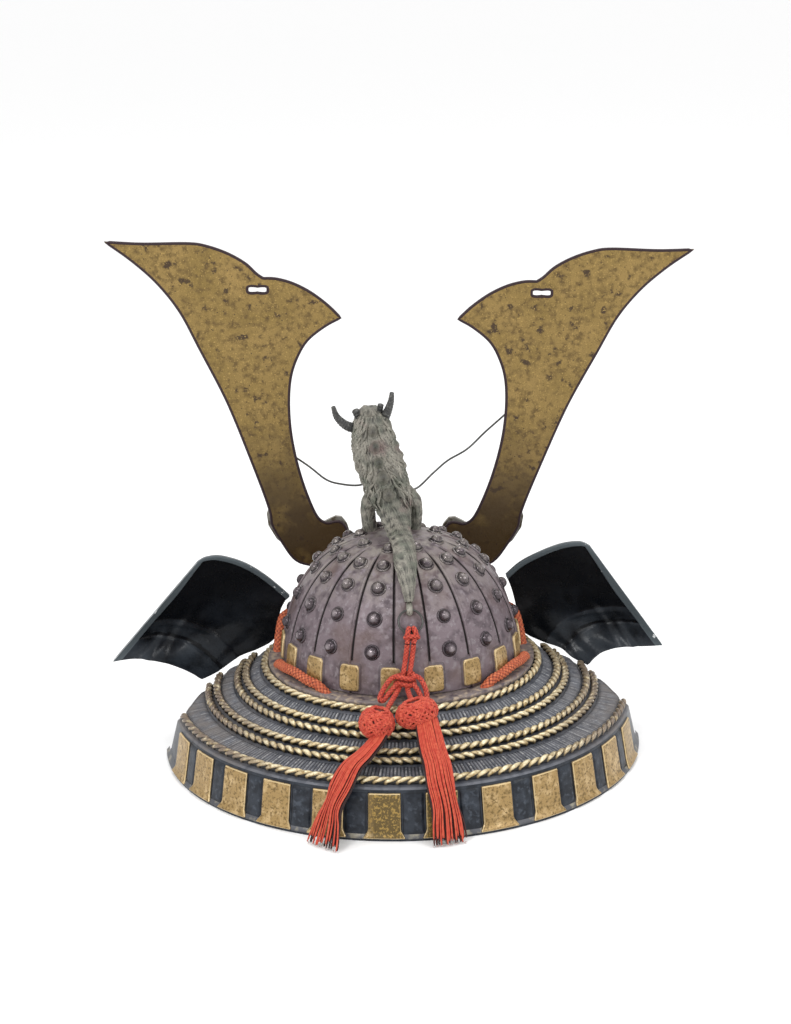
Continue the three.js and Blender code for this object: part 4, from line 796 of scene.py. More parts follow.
def make_guard_ropes():
    for i, (radius, height, thick, pitch, lean) in enumerate(ROPES):
        shape = Shape()
        end = guard_end(radius)
        length = 2 * math.radians(end) * radius
        azimuth = np.linspace(-end, end, int(length / 0.32))
        phi = np.linspace(-0.6, np.pi + 0.6, 19)
        s = np.radians(azimuth)[:, None] * radius
        leaf = grain(s, phi[None], pitch, lean)
        fade = np.clip((length / 2 - np.abs(s)) / 4 + 0.3, 0.3, 1)
        ring = thick * fade * (0.5 + 0.54 * leaf)
        points = polar(azimuth[:, None], radius - ring * np.cos(phi), height + ring * np.sin(phi))
        # Relief is the grain height: the rope finish paints highlights on the grains and shade in the
        # gaps
        shape.grid(points, leaf, 0)
        shape.build(f"guard_rope_{i}", [ROPE_GILT], ["neck_guard"])


def on_lame(azimuth, height, lift):
    radius = np.interp(height, [0.4, 1.2, 2.9, 4.4, 19.2], [100.0, 99.9, 98.7, 98.1, 95.6])
    return polar(azimuth, radius + lift, height)


def block_azimuth(number):
    """Middle of a gilt block: evenly spaced at the back and closer together round the sides."""
    even = (number + 0.5) * BLOCK_ANGLE
    side = 2.7 * BLOCK_ANGLE
    return even if even < side else side + 0.93 * (even - side)


def make_lame_blocks():
    shape = Shape()

    def flare(v):
        return 1 + 0.26 * (1 - step(v, -1.0, -0.62))

    middles = [block_azimuth(k) for k in range(6)]
    middles = [-m for m in middles[::-1]] + middles
    for middle in middles:
        plaque(shape, on_lame, (middle - BLOCK_HALF, middle + BLOCK_HALF), (0.9, 18.4), 1.1, 0,
               0.07, (20, 30), flare)
    for one, two in zip(middles[:-1], middles[1:]):
        half = (two - one) / 2 - BLOCK_HALF - 0.1
        middle = (one + two) / 2
        plaque(shape, on_lame, (middle - half, middle + half), (1.6, 18.8), 0.75, 1, 0.3,
               (18, 22))
    return shape.build("guard_lame_blocks", [BLOCK_GILT, NAVY], ["neck_guard"])


def make_lame_foot():
    shape = Shape()
    end = guard_end(RIM_RADIUS)
    azimuth = np.linspace(-end, end, 217)
    section = np.array([(98.6, 3.0), (99.0, 2.5), (99.95, 1.5), (100.0, 0.9), (99.4, 0.55)])
    shape.grid(polar(azimuth[:, None], section[None, :, 0] + 0.05, section[None, :, 1]), 0.8, 0)
    return shape.build("guard_lame_foot", [FOOT_METAL], ["neck_guard"])


# Wings

# Edges of each wing: root rows are shares out from the bowl to the rim, up to the ledge and the
# angle past the guard's end; the others are shares of the reach, reach and height.
WINGS = {
    "left": (-1, ((0.692, 0.728, 3), (0.586, 0.72, 3), (0.467, 0.8, 3), (0.33, 0.86, 2.6),
                  (0.211, 0.96, 2.6), (0.16, 1.12, 2.6), (0.14, 1.3, 2.8), (0.093, 1.43, 3),
                  (0.05, 1.495, 3.3)),
             ((0.745, 0.066, 0.391), (0.815, 0.091, 0.423), (0.918, 0.082, 0.462),
              (1, 0.066, 0.459)),
             ((0.458, 0.173, 0.847), (0.532, 0.148, 0.939), (0.613, 0.128, 0.993),
              (0.665, 0.119, 0.994), (0.696, 0.115, 0.972))),
    "right": (1, ((0.631, 0.68, 3.6), (0.54, 0.72, 2.4), (0.467, 0.8, 2.1), (0.33, 0.86, 1.9),
                  (0.211, 0.96, 1.9), (0.16, 1.12, 1.9), (0.14, 1.3, 2.8), (0.1, 1.5, 3),
                  (0.05, 1.66, 3.3)),
              ((0.713, 0.107, 0.397), (0.777, 0.099, 0.428), (0.857, 0.082, 0.44),
               (0.921, 0.066, 0.451)),
              ((0.432, 0.173, 0.885), (0.503, 0.148, 0.955), (0.574, 0.128, 1.004),
               (0.636, 0.119, 1.016), (0.671, 0.115, 0.994))),
}


def wing_sheet(root_rows, foot_rows, crest_rows, across, level):
    """The sheet between its edges, at shares across from the root and up from the foot."""
    size = np.array([WING_REACH, WING_REACH, WING_HEIGHT])
    root = []
    for out, up, past in root_rows:
        radius = BOWL_RADIUS + out * (RIM_RADIUS - BOWL_RADIUS)
        root.append(polar(guard_end(radius) + past, radius, up * LEDGE))
    foot_rows, crest_rows = np.array(foot_rows) * size, np.array(crest_rows) * size

    def at(points, share):
        dense = curve_through(points, 400)
        spot = np.linspace(0, 1, 400)
        return np.stack([np.interp(share, spot, dense[:, i]) for i in range(3)], -1)

    foot = at([root[0], *foot_rows], across)
    crest = at([root[-1], *crest_rows], across)
    side = at(root, level)
    tip, corner = foot_rows[-1], crest_rows[-1]
    outer = tip + (corner - tip) * level[:, None]
    s = across[:, None, None]
    t = level[None, :, None]
    sheet = foot[:, None] * (1 - t) + crest[:, None] * t + side[None] * (1 - s) + outer[None] * s
    sheet = sheet - (foot[0] * (1 - s) * (1 - t) + tip * s * (1 - t)
                     + crest[0] * (1 - s) * t + corner * s * t)
    hollow = 5 * 16 * s * (1 - s) * t * (1 - t) * (1 - 0.4 * t)
    sheet[..., 1] += hollow[..., 0]
    return sheet, s[..., 0], t[..., 0]


def wrinkles(s, t):
    """Soft creases in the lower part of the sheet, towards the back."""
    low = 1 - step(t, 0.3, 0.72)
    inner = 1 - step(s, 0.62, 0.88)
    wave = (np.sin(21 * s + 9 * t + 1.6 * np.sin(7 * t + 3 * s))
            + 0.7 * np.sin(34 * s - 15 * t + 2 * np.sin(9 * s)))
    long_fold = np.exp(-(((t - 0.42 + 0.1 * s) / 0.018) ** 2)) * step(s, 0.25, 0.45)
    return 0.32 * wave * low * inner + 0.55 * long_fold * (1 - step(s, 0.8, 0.9))


def make_wing(name, side, *edges):
    across = np.unique(np.concatenate([np.linspace(0, 0.9, 80), np.linspace(0.9, 0.925, 7),
                                       np.linspace(0.925, 1, 10)]))
    level = np.unique(np.concatenate([np.linspace(0, 0.95, 90), np.linspace(0.95, 0.98, 7),
                                      np.linspace(0.98, 1, 4)]))
    sheet, s, t = wing_sheet(*edges, across, level)
    border = np.maximum(step(s, 0.906, 0.916) + 0 * t, step(t, 0.962, 0.972) + 0 * s)
    bow = 0.04 * np.sin(np.pi * s)
    folds = (1 - step(t - bow, 0.19, 0.205)) + (1 - step(t - bow, 0.355, 0.37))
    back = 0.75 + 0.9 * border + 0.5 * folds * (1 - border) + wrinkles(s, t) * (1 - border)
    front = 0.75 + 0.9 * border
    groove = np.exp(-(((t - bow - 0.385) / 0.012) ** 2)) + np.exp(-(((t - bow - 0.22) / 0.012) ** 2))
    relief = np.clip(0.9 - 0.3 * folds + 0.1 * wrinkles(s, t), 0.3, 1)
    relief = np.where(groove > 0.3, 1.0, relief) * (1 - border) + 0.1 * border
    shape = Shape()
    rear = sheet - np.stack([0 * back, back, 0 * back], -1)
    fore = sheet + np.stack([0 * front, front, 0 * front], -1)
    both = np.concatenate([rear, fore[:, ::-1]], 1) * [side, 1, 1]
    shape.grid(both, np.concatenate([relief, relief[:, ::-1]], 1), 0, close_columns=True)
    for end in (0, -1):
        rim = both[end]
        half = len(rim) // 2
        shape.grid(np.stack([rim[:half], rim[half:][::-1]]), 0.1, 0)
    return shape.build(name, [BLACK], [name.replace("wing", "fukigaeshi")])


# Crest

# Right half of the outline from the middle, as shares of span and rise; None ends a smooth run
CREST_HALF = (
    (0.0, 0.055), (0.1, 0.058), (0.158, 0.072), (0.176, 0.115), (0.196, 0.134), (0.218, 0.134),
    (0.246, 0.13), (0.281, 0.155), (0.322, 0.24), (0.353, 0.332), (0.373, 0.424), (0.38, 0.514),
    (0.374, 0.593), (0.353, 0.655), (0.317, 0.71), (0.257, 0.754), (0.204, 0.78), None, (0.204, 0.78),
    (0.25, 0.819), (0.309, 0.857), (0.369, 0.883), (0.425, 0.896), (0.469, 0.897), None,
    (0.469, 0.897), (0.493, 0.911), (0.53, 0.941), (0.589, 0.97), (0.658, 0.991), (0.722, 0.999),
    (0.882, 0.996), (1.0, 1.0), None, (1.0, 1.0), (0.914, 0.946), (0.828, 0.878), (0.752, 0.792),
    (0.685, 0.678), (0.613, 0.554), (0.572, 0.473), (0.521, 0.358), (0.465, 0.226),
    (0.441, 0.159), (0.436, 0.125), (0.401, 0.068), (0.353, 0.01), (0.295, -0.008), (0.2, -0.02),
    (0.11, -0.04), (0.07, -0.1))
CREST_HOLE = (0.488, 0.863)


def crest_outline():
    runs, run = [], []
    for p in CREST_HALF:
        if p is None:
            runs.append(run)
            run = []
        else:
            run.append((p[0] * CREST_SPAN, p[1] * CREST_RISE, 0))
    runs.append(run)
    half = np.concatenate([curve_through(r, 6 * len(r))[:-1, :2] for r in runs]
                          + [np.array(runs[-1][-1:])[:, :2]])
    return np.concatenate([half, (half * [-1, 1])[::-1][:-1]])


def crest_hole(side):
    t = full_turn(40)
    x = 4.5 * np.cos(t)
    waist = 0.55 + 0.45 * np.abs(x) / 4.5
    y = np.sign(np.sin(t)) * (0.5 + 1.7 * np.abs(np.sin(t)) ** 0.8 * waist)
    y = np.where(np.abs(np.sin(t)) < 0.05, 0, y)
    middle = np.array(CREST_HOLE) * [CREST_SPAN * side, CREST_RISE]
    return np.stack([x, y], -1) + middle


def make_crest():
    data = bpy.data.curves.new("crest_sheet", "CURVE")
    data.dimensions = "2D"
    data.fill_mode = "BOTH"
    data.extrude = 0.00055
    data.bevel_depth = 0.00025
    data.bevel_resolution = 2
    for outline in (crest_outline(), crest_hole(-1), crest_hole(1)):
        spline = data.splines.new("POLY")
        spline.points.add(len(outline) - 1)
        spline.use_cyclic_u = True
        for point, (x, y) in zip(spline.points, outline):
            point.co = (x * 0.001, y * 0.001, 0, 1)
    obj = bpy.data.objects.new("crest_outline", data)
    bpy.context.scene.collection.objects.link(obj)
    lean = Matrix.Rotation(math.radians(CREST_ROLL), 4, "Y")
    upright = Matrix.Rotation(math.radians(90), 4, "X")
    obj.matrix_world = (Matrix.Translation(place((0, CREST_PLANE + CREST_SHEET / 2, CREST_BASE)))
                        @ lean @ upright)
    bpy.context.view_layer.update()
    depsgraph = bpy.context.evaluated_depsgraph_get()
    mesh = bpy.data.meshes.new_from_object(obj.evaluated_get(depsgraph))
    mesh.transform(obj.matrix_world)
    bpy.data.objects.remove(obj)
    mesh.materials.clear()
    mesh.materials.append(BRASS)
    sheet = bpy.data.objects.new("crest_sheet", mesh)
    bpy.context.scene.collection.objects.link(sheet)
    roll = math.radians(CREST_ROLL)
    edge = Shape()
    for outline in (crest_outline(), crest_hole(-1), crest_hole(1)):
        x, y = outline.T
        edge.tube(np.stack([x * math.cos(roll) + y * math.sin(roll),
                            np.full(len(x), CREST_PLANE + CREST_SHEET / 2 - 0.3),
                            CREST_BASE - x * math.sin(roll) + y * math.cos(roll)], -1),
                  0.7, 8, closed=True)
    edge.build("crest_edge", [EDGE_DARK], ["crest"])
    return join_frame(sheet, ["crest"])


# Dragon

def dragon_point(lean, ahead, up):
    return np.array([-lean * DRAGON_LEAN, ahead * DRAGON_DEPTH, BOWL_TOP + up * DRAGON_RISE])


# Tail: share of the fall over the bowl, lift, half width
TAIL = ((1.03, 0.6, 1.6), (0.95, 1.2, 3.2), (0.84, 2, 4.4), (0.62, 2, 4.4), (0.36, 2.2, 4.6),
        (0.14, 2.6, 4.9))
# The others: lean, ahead and up as shares of the dragon's lean, depth and rise, then any half sizes
BODY = ((0.02, -0.2, 0.06, 6.2, 3.8), (0.1, 0, 0.13, 7, 6), (0.35, 0.1, 0.3, 9.4, 7.4),
        (0.7, 0.12, 0.56, 9.7, 7.2), (0.95, 0.12, 0.76, 8.8, 6.6), (1, 0.2, 0.9, 7, 6))
HEAD = ((1, 0.12, 0.85, 6.6, 6), (1, 0.38, 0.86, 7.4, 6.6), (0.95, 0.62, 0.62, 6, 5.4),
        (0.9, 0.85, 0.32, 5, 4.4), (0.88, 0.98, 0.2, 4.2, 3.2))
JAW = ((0.95, 0.26, 0.66, 4.6, 3.4), (0.92, 0.5, 0.36, 4, 2.4), (0.9, 0.7, 0.12, 3.2, 1.8))
LEGS = (((0.7, 0.14, 0.34, 3.6, 4.4), (1.2, 0.24, 0.2, 3.2, 4), (1.15, 0.26, -0.03, 3, 4.4)),
        ((-0.1, 0.14, 0.34, 3.6, 4.4), (-0.75, 0.24, 0.2, 2.8, 4), (-0.7, 0.26, -0.03, 2.6, 4.4)))
HORNS = (
    ((1.4, 0.22, 0.82, 2.2), (2, 0.18, 0.86, 2), (2.4, 0.14, 0.94, 1.5), (2.55, 0.1, 1.03, 0.9)),
    ((0.6, 0.22, 0.86, 2.2), (0.35, 0.18, 0.96, 1.9), (0.2, 0.14, 1.05, 1.4),
     (0.15, 0.1, 1.13, 0.9)),
    ((1.45, 0.24, 0.88, 1.5), (1.65, 0.2, 0.98, 1.5)),
    ((0.7, 0.24, 0.92, 1.4), (0.6, 0.2, 1.02, 1.2)))
SPIKES = ((0.4, -0.03, 0.34), (0.6, -0.03, 0.48), (0.76, -0.02, 0.6), (0.9, 0, 0.72),
          (0.98, 0.03, 0.84))


def limb(shape, path, wide, deep, sides, relief=1.0, groove=None):
    """A flattened tube whose width runs across the helmet."""
    tangent = np.gradient(path, axis=0)
    tangent /= np.linalg.norm(tangent, axis=1)[:, None]
    across = np.array([1.0, 0, 0]) - tangent * tangent[:, :1]
    across /= np.linalg.norm(across, axis=1)[:, None]
    up = np.cross(tangent, across)
    phi = full_turn(sides)
    share = np.ones((len(path), sides))
    if groove is not None:
        share = groove(along_path(path)[:, None], phi[None, :])
        relief = (share - share.min()) / (share.max() - share.min())
    points = (path[:, None] + (share * wide[:, None] * np.cos(phi))[..., None] * across[:, None]
              + (share * deep[:, None] * np.sin(phi))[..., None] * up[:, None])
    caps = [np.repeat(path[:1], sides, 0)[None], points, np.repeat(path[-1:], sides, 0)[None]]
    if np.size(relief) > 1:
        relief = np.concatenate([relief[:1], relief, relief[-1:]])
    shape.grid(np.concatenate(caps), relief, close_columns=True)


def fur(strands, swing):
    """Wavy ridges that run along a limb, each broken into locks."""
    def height(s, phi):
        u = strands * phi / (2 * np.pi) + swing * np.sin(0.3 * s + 2 * np.sin(2 * phi))
        u = u + 0.16 * np.sin(1.3 * s + 5 * phi) + 0.28 * np.abs(np.cos(phi)) * s
        number = np.floor(u)
        x = (u - number - 0.5) * 2
        lock = 0.6 + 0.4 * np.sin(0.9 * s + 2.1 * number)
        coarse = 0.04 * np.sin(0.8 * s + 3 * phi) * np.sin(0.5 * s - 4 * phi + 1)
        return 1 + 0.11 * (1 - np.abs(x)) * lock + coarse
    return height


def make_dragon():
    shape = Shape()
    rows = []
    for down, lift, wide in TAIL:
        point = on_bowl(0, 1 - down * TAIL_FALL / BOWL_RISE, 1 + lift)
        rows.append((*point, wide, 2.4))
    for lean, ahead, up, wide, deep in BODY:
        rows.append((*dragon_point(lean, ahead, up), wide, deep))
    path, wide, deep = swept(rows, 270)
    limb(shape, path, 0.98 * wide, 0.98 * deep, 160, groove=fur(36, 0.6))
    for rows, strands in ((HEAD, 26), (JAW, 16), *((leg, 16) for leg in LEGS)):
        path, wide, deep = swept([(*dragon_point(*r[:3]), *r[3:]) for r in rows], 60)
        limb(shape, path, 0.95 * wide, 0.95 * deep, 72, groove=fur(strands, 0.6))
    for i, (lean, ahead, up) in enumerate(SPIKES):
        foot = dragon_point(lean, ahead, up)
        path = np.linspace(foot + [0, 1, -0.6], foot + [0, -6.4, 1.8], 8)
        size = 1 + 0.12 * math.sin(2.4 * i)
        limb(shape, path, size * np.array([2.6, 2.5, 2.3, 2, 1.6, 1.2, 0.7, 0.15]),
             size * np.array([3.4, 3.2, 2.9, 2.4, 1.9, 1.3, 0.8, 0.15]), 16,
             np.repeat(np.linspace(0.6, 0.12, 8)[:, None], 16, 1))
    crown = [dragon_point(1.0, 0.16, 0.86), dragon_point(1.0, 0.14, 0.93),
             dragon_point(1.02, 0.11, 0.985), dragon_point(1.04, 0.1, 1.01)]
    limb(shape, curve_through(crown, 24), np.linspace(4.6, 1.2, 24), np.linspace(4, 1.2, 24), 60,
         groove=fur(12, 0.3))
    for rows in HORNS:
        path, size = swept([(*dragon_point(*r[:3]), r[3]) for r in rows], 40)
        size = size * (1 + 0.07 * np.sin(along_path(path) * 5))
        shape.tube(path, size, 14, slot=1)
    return shape.build("dragon_body", [DRAGON_METAL, HORN_DARK], ["dragon"])


def make_mane():
    """Locks of hair that sweep down and out from the crown over the neck and the shoulders."""
    shape = Shape()
    levels = [0.06, 0.13, 0.3, 0.56, 0.76, 0.9, 0.98]
    leans = [0.02, 0.1, 0.35, 0.7, 0.95, 1.0, 1.02]
    wides = [6.2, 7, 9.4, 9.7, 8.6, 6.6, 4.4]
    deeps = [3.8, 6, 7.4, 7.2, 6.4, 5.4, 4]
    for i in range(130):
        side = 1 if i % 2 else -1
        start = 0.97 - 0.62 * rng.random() ** 1.1
        length = rng.uniform(0.13, 0.26)
        turn0 = side * rng.uniform(0.25, 0.95)
        turn1 = turn0 + side * rng.uniform(0.25, 0.7)
        phase = rng.uniform(0, 6)
        points = []
        for t in np.linspace(0, 1, 7):
            up = start - length * t
            turn = turn0 + (turn1 - turn0) * t + 0.07 * math.sin(9 * t + phase)
            lift = 1.0 + 0.07 * math.sin(math.pi * t)
            middle = dragon_point(np.interp(up, levels, leans), 0.12, up)
            points.append(middle + [np.interp(up, levels, wides) * lift * math.sin(turn),
                                    -np.interp(up, levels, deeps) * lift * math.cos(turn), 0])
        path = curve_through(points, 20)
        size = np.interp(np.linspace(0, 1, 20), [0, 0.35, 1], [0.3, 0.62, 0.12])
        shape.tube(path, size, 7, relief=rng.uniform(0.2, 0.9))
    return shape.build("dragon_mane", [DRAGON_METAL], ["dragon"])


# Shares of the crest's span, the whiskers' reach and the dragon's rise
WHISKERS = (
    ((-0.09, 0.58, 0.25), (-0.125, 0.6, 0.215), (-0.179, 0.7, 0.195), (-0.234, 0.85, 0.19),
     (-0.3, 1.03, 0.265), (-0.4, 1.1, 0.42), (-0.49, 1.14, 0.59), (-0.553, 1.15, 0.72),
     (-0.575, 1.15, 0.8)),
    ((-0.045, 0.58, 0.25), (0.02, 0.62, 0.17), (0.075, 0.67, 0.15), (0.138, 0.75, 0.255),
     (0.192, 0.87, 0.32), (0.266, 1.02, 0.37), (0.333, 1.1, 0.49), (0.42, 1.14, 0.66),
     (0.5, 1.15, 0.85)))


def make_whiskers():
    for name, rows in zip(("whisker_left", "whisker_right"), WHISKERS):
        points = [(out * CREST_SPAN, ahead * WHISKER_REACH, BOWL_TOP + up * DRAGON_RISE)
                  for out, ahead, up in rows]
        shape = Shape()
        shape.tube(curve_through(points, 120), WIRE_RADIUS, 10)
        shape.build(name + "_wire", [WIRE_METAL], [name])


# Ring, cords, knot and tassels

RING_TOP = on_bowl(0, 0.62, 2.6)
RING_TILT = math.radians(35)
HANG = np.array([0, -math.sin(RING_TILT), -math.cos(RING_TILT)])
HANG = np.array([-HANG[1] * math.sin(math.radians(BOWL_TURN)),
                 HANG[1] * math.cos(math.radians(BOWL_TURN)), HANG[2]])
ACROSS = np.array([math.cos(math.radians(BOWL_TURN)), math.sin(math.radians(BOWL_TURN)), 0])
RING_CENTRE = RING_TOP + HANG * RING_RADIUS


def make_ring():
    t = full_turn(72)[:, None]
    path = RING_CENTRE + RING_RADIUS * (np.sin(t) * ACROSS + np.cos(t) * HANG)
    shape = Shape()
    shape.tube(path, WIRE_RADIUS, 10, closed=True)
    return shape.build("tail_ring_wire", [WIRE_METAL], ["tail_ring"])


def red_braid(s, phi):
    return braid(s, phi, 4, 1.5)


def make_hitch():
    """Two turns over the ring, a bar round them and two ends down to the cords."""
    shape = Shape()
    normal = np.cross(ACROSS, HANG)
    bottom = RING_CENTRE + RING_RADIUS * HANG
    for side in (-1, 1):
        angle = side * 0.3
        out = math.sin(angle) * ACROSS + math.cos(angle) * HANG
        middle = RING_CENTRE + RING_RADIUS * out
        t = full_turn(48)[:, None]
        shape.tube(middle + 1.75 * (np.cos(t) * out + np.sin(t) * normal), 1.1, 18, closed=True,
                   pattern=red_braid)
        start = np.array(CORD_ROUTES[0 if side < 0 else 1][0])
        ends = curve_through([middle + 1.2 * HANG, (middle + 1.2 * HANG + start) / 2
                              - normal * 0.2, start + [0, 0.05, 0.4]], 24)
        shape.tube(ends, 1.08, 18, pattern=red_braid)
    t = full_turn(60)[:, None]
    bar = bottom + 1.7 * HANG + 2.5 * np.cos(t) * ACROSS + 1.45 * np.sin(t) * normal
    shape.tube(bar, 1.0, 18, closed=True, pattern=red_braid)
    return shape.build("hitch_braid", [RED], ["agemaki_hitch"])


KNOT_LOOPS = (
    ((-2.6, 0.2, 1.6), (-5.8, -1.6, 0.8), (-8.8, -4.2, -2.4), (-10.3, -6.2, -5.4),
     (-8.8, -6.3, -6), (-6.4, -4.4, -3.6), (-3.2, -1.8, -1)),
    ((2.6, 0.2, 1.6), (5.6, -1.4, 1), (7.6, -4, -1.8), (8.2, -6.2, -5.6), (6.5, -6.3, -6.2),
     (5, -4.2, -3.4), (3, -1.8, -1)))


def make_knot():
    shape = Shape()
    for level in (-1.3, 1.3):
        t = full_turn(60)[:, None]
        ring = KNOT + np.hstack([3.55 * np.cos(t), 2.5 * np.sin(t), level + 0.5 * np.sin(2 * t)])
        shape.tube(ring, 1.15, 18, closed=True, pattern=red_braid)
    for loop in KNOT_LOOPS:
        path = curve_through([KNOT + p for p in loop], 70)
        shape.tube(path, 1.1, 18, pattern=red_braid)
    return shape.build("agemaki_knot_braid", [RED], ["agemaki_knot"])


# Name, middle and half sizes of the head, its tilt, threads, and rows of the skirt with a width
TASSELS = (
    ("left", (-12.6, -76.5, 39), (7, 6.6, 6.6), 12, 14,
     ((-11, -79, 36.2, 5.2), (-14, -82.6, 33.2, 6.6), (-18.2, -86.6, 30.2, 8.2),
      (-23.4, -92, 27.6, 9.6), (-28, -97.2, 21, 10.6), (-32, -99.6, 11, 12),
      (-35.2, -103, 0.9, 14.4))),
    ("right", (2.9, -75, 42), (8.4, 6.2, 6), -16, 17,
     ((6.3, -77.5, 40.4, 8.4), (7.4, -82.5, 35.2, 9.4), (8.4, -88, 31, 10),
      (9.6, -93.6, 28, 10.6), (10.6, -98.4, 21.4, 11.2), (12.4, -101.8, 10.2, 12.4),
      (13.2, -104.6, 0.8, 13.2))))


def make_skirt(name, rows, threads):
    """Threads in a front layer over two back layers painted darker as shade, splayed and frayed at
    the tips.
    """
    count = 40
    centre, wide = swept(rows, count)
    t = np.linspace(0, 1, count)
    run = np.gradient(centre, axis=0)
    run /= np.linalg.norm(run, axis=1)[:, None]
    along = np.cross((0, 0, 1), run)
    along /= np.linalg.norm(along, axis=1)[:, None]
    out = np.cross(run, along)
    shape = Shape()
    # Relief of each layer: the back layers get low values, so the thread finish paints them dark as
    # shade between the front threads
    for number, deep, layer_shading in ((threads, 0.0, 0.85), (threads + 3, 0.9, 0.24),
                               (threads - 2, 1.7, 0.1)):
        for i in range(number):
            share = (i + 0.5) / number - 0.5 + rng.uniform(-0.3, 0.3) / number
            drift = rng.uniform(-0.06, 0.06) * t**2 + rng.uniform(-0.02, 0.02) * np.sin(5 * t + i)
            arch = 2.6 * (0.4 - 1.6 * share * share) + 0.45 - deep + rng.uniform(-0.15, 0.15)
            path = centre + ((share + drift) * wide)[:, None] * along + arch * out
            path = path[:count - int(rng.integers(0, 3))]
            path[:, 2] = np.maximum(path[:, 2], 0.42)
            size = np.full(len(path), 0.33)
            size[-1] = 0.2
            shape.tube(path, size, 7, relief=layer_shading * rng.uniform(0.8, 1.05))
    for i in range(threads):
        share = (i + 0.5) / threads - 0.5 + rng.uniform(-0.05, 0.05)
        start = centre[-1] + share * wide[-1] * along[-1]
        end = start + [rng.uniform(-1.1, 0.9), rng.uniform(-1.0, -0.1), rng.uniform(-0.5, 0.3)]
        path = curve_through([start, (start + end) / 2 + [rng.uniform(-0.4, 0.4), 0, 0], end], 8)
        path[:, 2] = np.clip(path[:, 2], 0.3, None)
        shape.tube(path, 0.13, 5, relief=0.8, slot=1)
    return shape.build(f"tassel_{name}_threads", [THREAD, FRAY], [f"tassel_{name}"])


def make_head(name, centre, size, tilt):
    shape = Shape()
    size = np.array(size, float)
    phi, theta = np.meshgrid(full_turn(40), np.linspace(0.001, np.pi - 0.001, 24))
    ball = np.stack([np.sin(theta) * np.cos(phi), np.sin(theta) * np.sin(phi), np.cos(theta)], -1)
    lean = math.radians(tilt)
    turn = np.array([[math.cos(lean), 0, math.sin(lean)], [0, 1, 0],
                     [-math.sin(lean), 0, math.cos(lean)]])

    def put(points, grow):
        return (points * (size + grow)) @ turn.T + np.array(centre, float)

    shape.grid(put(ball, -1.3), 0.5, 1, close_columns=True)
    t = full_turn(130)
    for k in range(11):
        for hand in (-1, 1):
            swing = hand * (0.95 + 0.2 * math.sin(k * 2.1))
            turn_k = 2 * np.pi * k / 11
            axis = np.array([math.cos(turn_k), math.sin(turn_k), 0])
            other = np.cross(axis, (0, 0, 1)) * math.cos(swing) + np.array(
                [0, 0, math.sin(swing)])
            circle = np.cos(t)[:, None] * axis + np.sin(t)[:, None] * other
            wave = 1 + 0.04 * np.sin(9 * (t + turn_k))
            shape.tube(put(circle * wave[:, None], -0.6), 0.6, 10, closed=True,
                       pattern=lambda s, p: twist(s, p, 2, 1.9))
    return shape.build(f"tassel_{name}_head", [RED, CORE], [f"tassel_{name}"])


# Azimuth and height of the chin cord's stations, the same on both sides
CHIN = ((0, 33.0), (27.75, 33.0), (44.25, 40.9), (58, 42.3), (73.25, 40.9), (88.25, 33.0),
        (90.5, 33.0), (111.5, 50.0), (180, 43.6))


def make_chin_cord():
    shape = Shape()
    azimuth = np.linspace(-180, 180, 1100, endpoint=False)
    a = np.abs(azimuth)
    stations = np.array(CHIN)
    k = np.clip(np.searchsorted(stations[:, 0], a, side="left"), 1, len(stations) - 1)
    share = (a - stations[k - 1, 0]) / (stations[k, 0] - stations[k - 1, 0])
    height = stations[k - 1, 1] + (stations[k, 1] - stations[k - 1, 1]) * step(share, 0, 1)
    path = polar(azimuth, CHIN_RING, height)
    shape.tube(path, CHIN_CORD_RADIUS, 32, closed=True, pattern=lambda s, phi: braid(s, phi, 6, 2))
    return shape.build("chin_cord_braid", [ORANGE], ["chin_cord"])


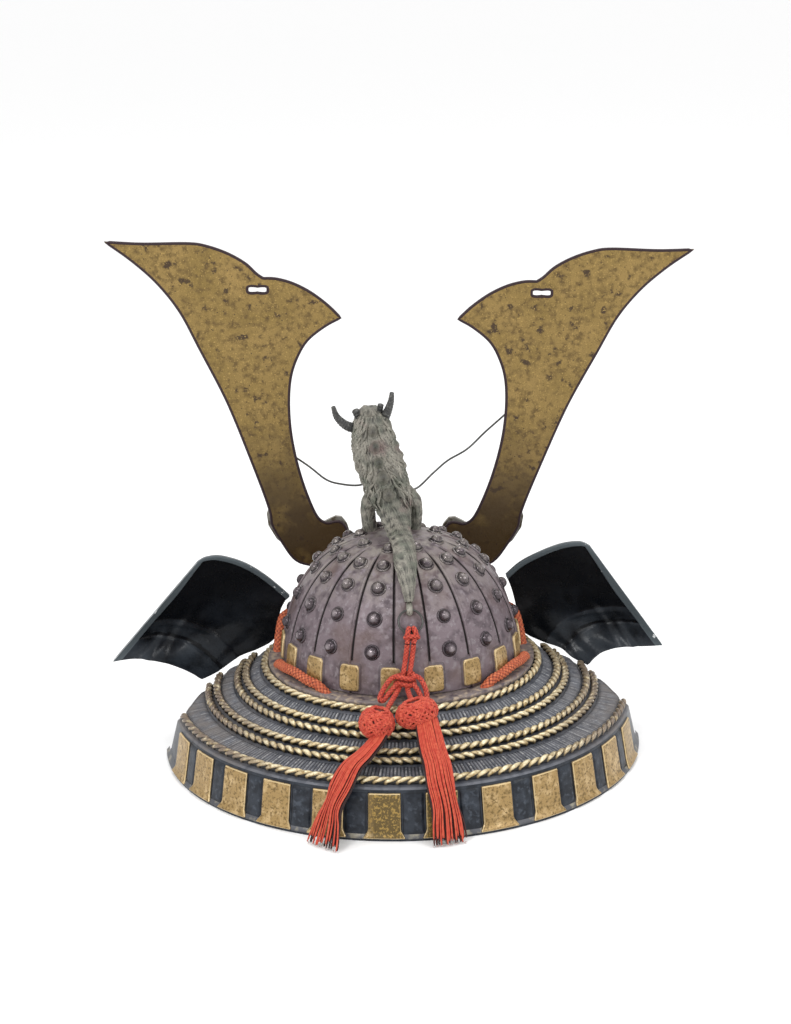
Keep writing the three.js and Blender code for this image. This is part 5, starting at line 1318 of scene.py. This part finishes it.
make_bowl()
make_rivets()
make_bowl_pads()
make_lug()
make_guard_skin()
make_guard_bands()
make_guard_ropes()
make_lame_blocks()
make_lame_foot()
for name, edges in WINGS.items():
    make_wing("wing_" + name, *edges)
make_crest()
make_dragon()
make_mane()
make_whiskers()
make_ring()
make_hitch()
make_knot()
make_chin_cord()
for name, centre, size, tilt, threads, rows in TASSELS:
    head = make_head(name, centre, size, tilt)
    skirt = make_skirt(name, rows, threads)
    route = curve_through(CORD_ROUTES[0 if name == "left" else 1], 80)
    shape = Shape()
    shape.tube(route, CORD / 2, 18, pattern=red_braid)
    cord = shape.build(f"agemaki_{name}_braid", [RED], [f"agemaki_cord_{name}"])

for node, material in (("visor", BOWL_METAL), ("crest_mount", MOUNT_METAL)):
    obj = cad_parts[node]
    obj.data.materials.clear()
    obj.data.materials.append(material)

# Floor and light, in metres

FLOOR_CORNERS = ((-40, -40), (40, -40), (40, 40), (-40, 40))
floor_mesh = bpy.data.meshes.new("floor")
floor_mesh.from_pydata([(x, y, 0) for x, y in FLOOR_CORNERS], [], [(0, 1, 2, 3)])
floor = bpy.data.objects.new("floor", floor_mesh)
bpy.context.scene.collection.objects.link(floor)
floor_paint = Finish("floor_paper", "#fafafa", 0.8, 0.0).done()
floor_mesh.materials.append(floor_paint)

world = bpy.data.worlds.new("studio")
world.use_nodes = True
world.node_tree.nodes["Background"].inputs["Color"].default_value = (1, 1, 1, 1)
world.node_tree.nodes["Background"].inputs["Strength"].default_value = 1.02
bpy.context.scene.world = world
bpy.context.scene.view_settings.view_transform = "Standard"


def area_light(name, position, target, size, power):
    data = bpy.data.lights.new(name, "AREA")
    data.shape = "SQUARE"
    data.size = size
    data.energy = power
    light = bpy.data.objects.new(name, data)
    light.location = position
    direction = Vector(target) - Vector(position)
    light.rotation_euler = direction.to_track_quat("-Z", "Y").to_euler()
    bpy.context.scene.collection.objects.link(light)


area_light("key", (-0.7, -0.9, 1.0), (0, 0, 0.07), 0.3, 7)
area_light("fill", (0.9, -0.8, 0.8), (0, 0, 0.07), 0.3, 4)
area_light("top", (0.1, 0.3, 1.3), (0, 0, 0.05), 0.5, 4)
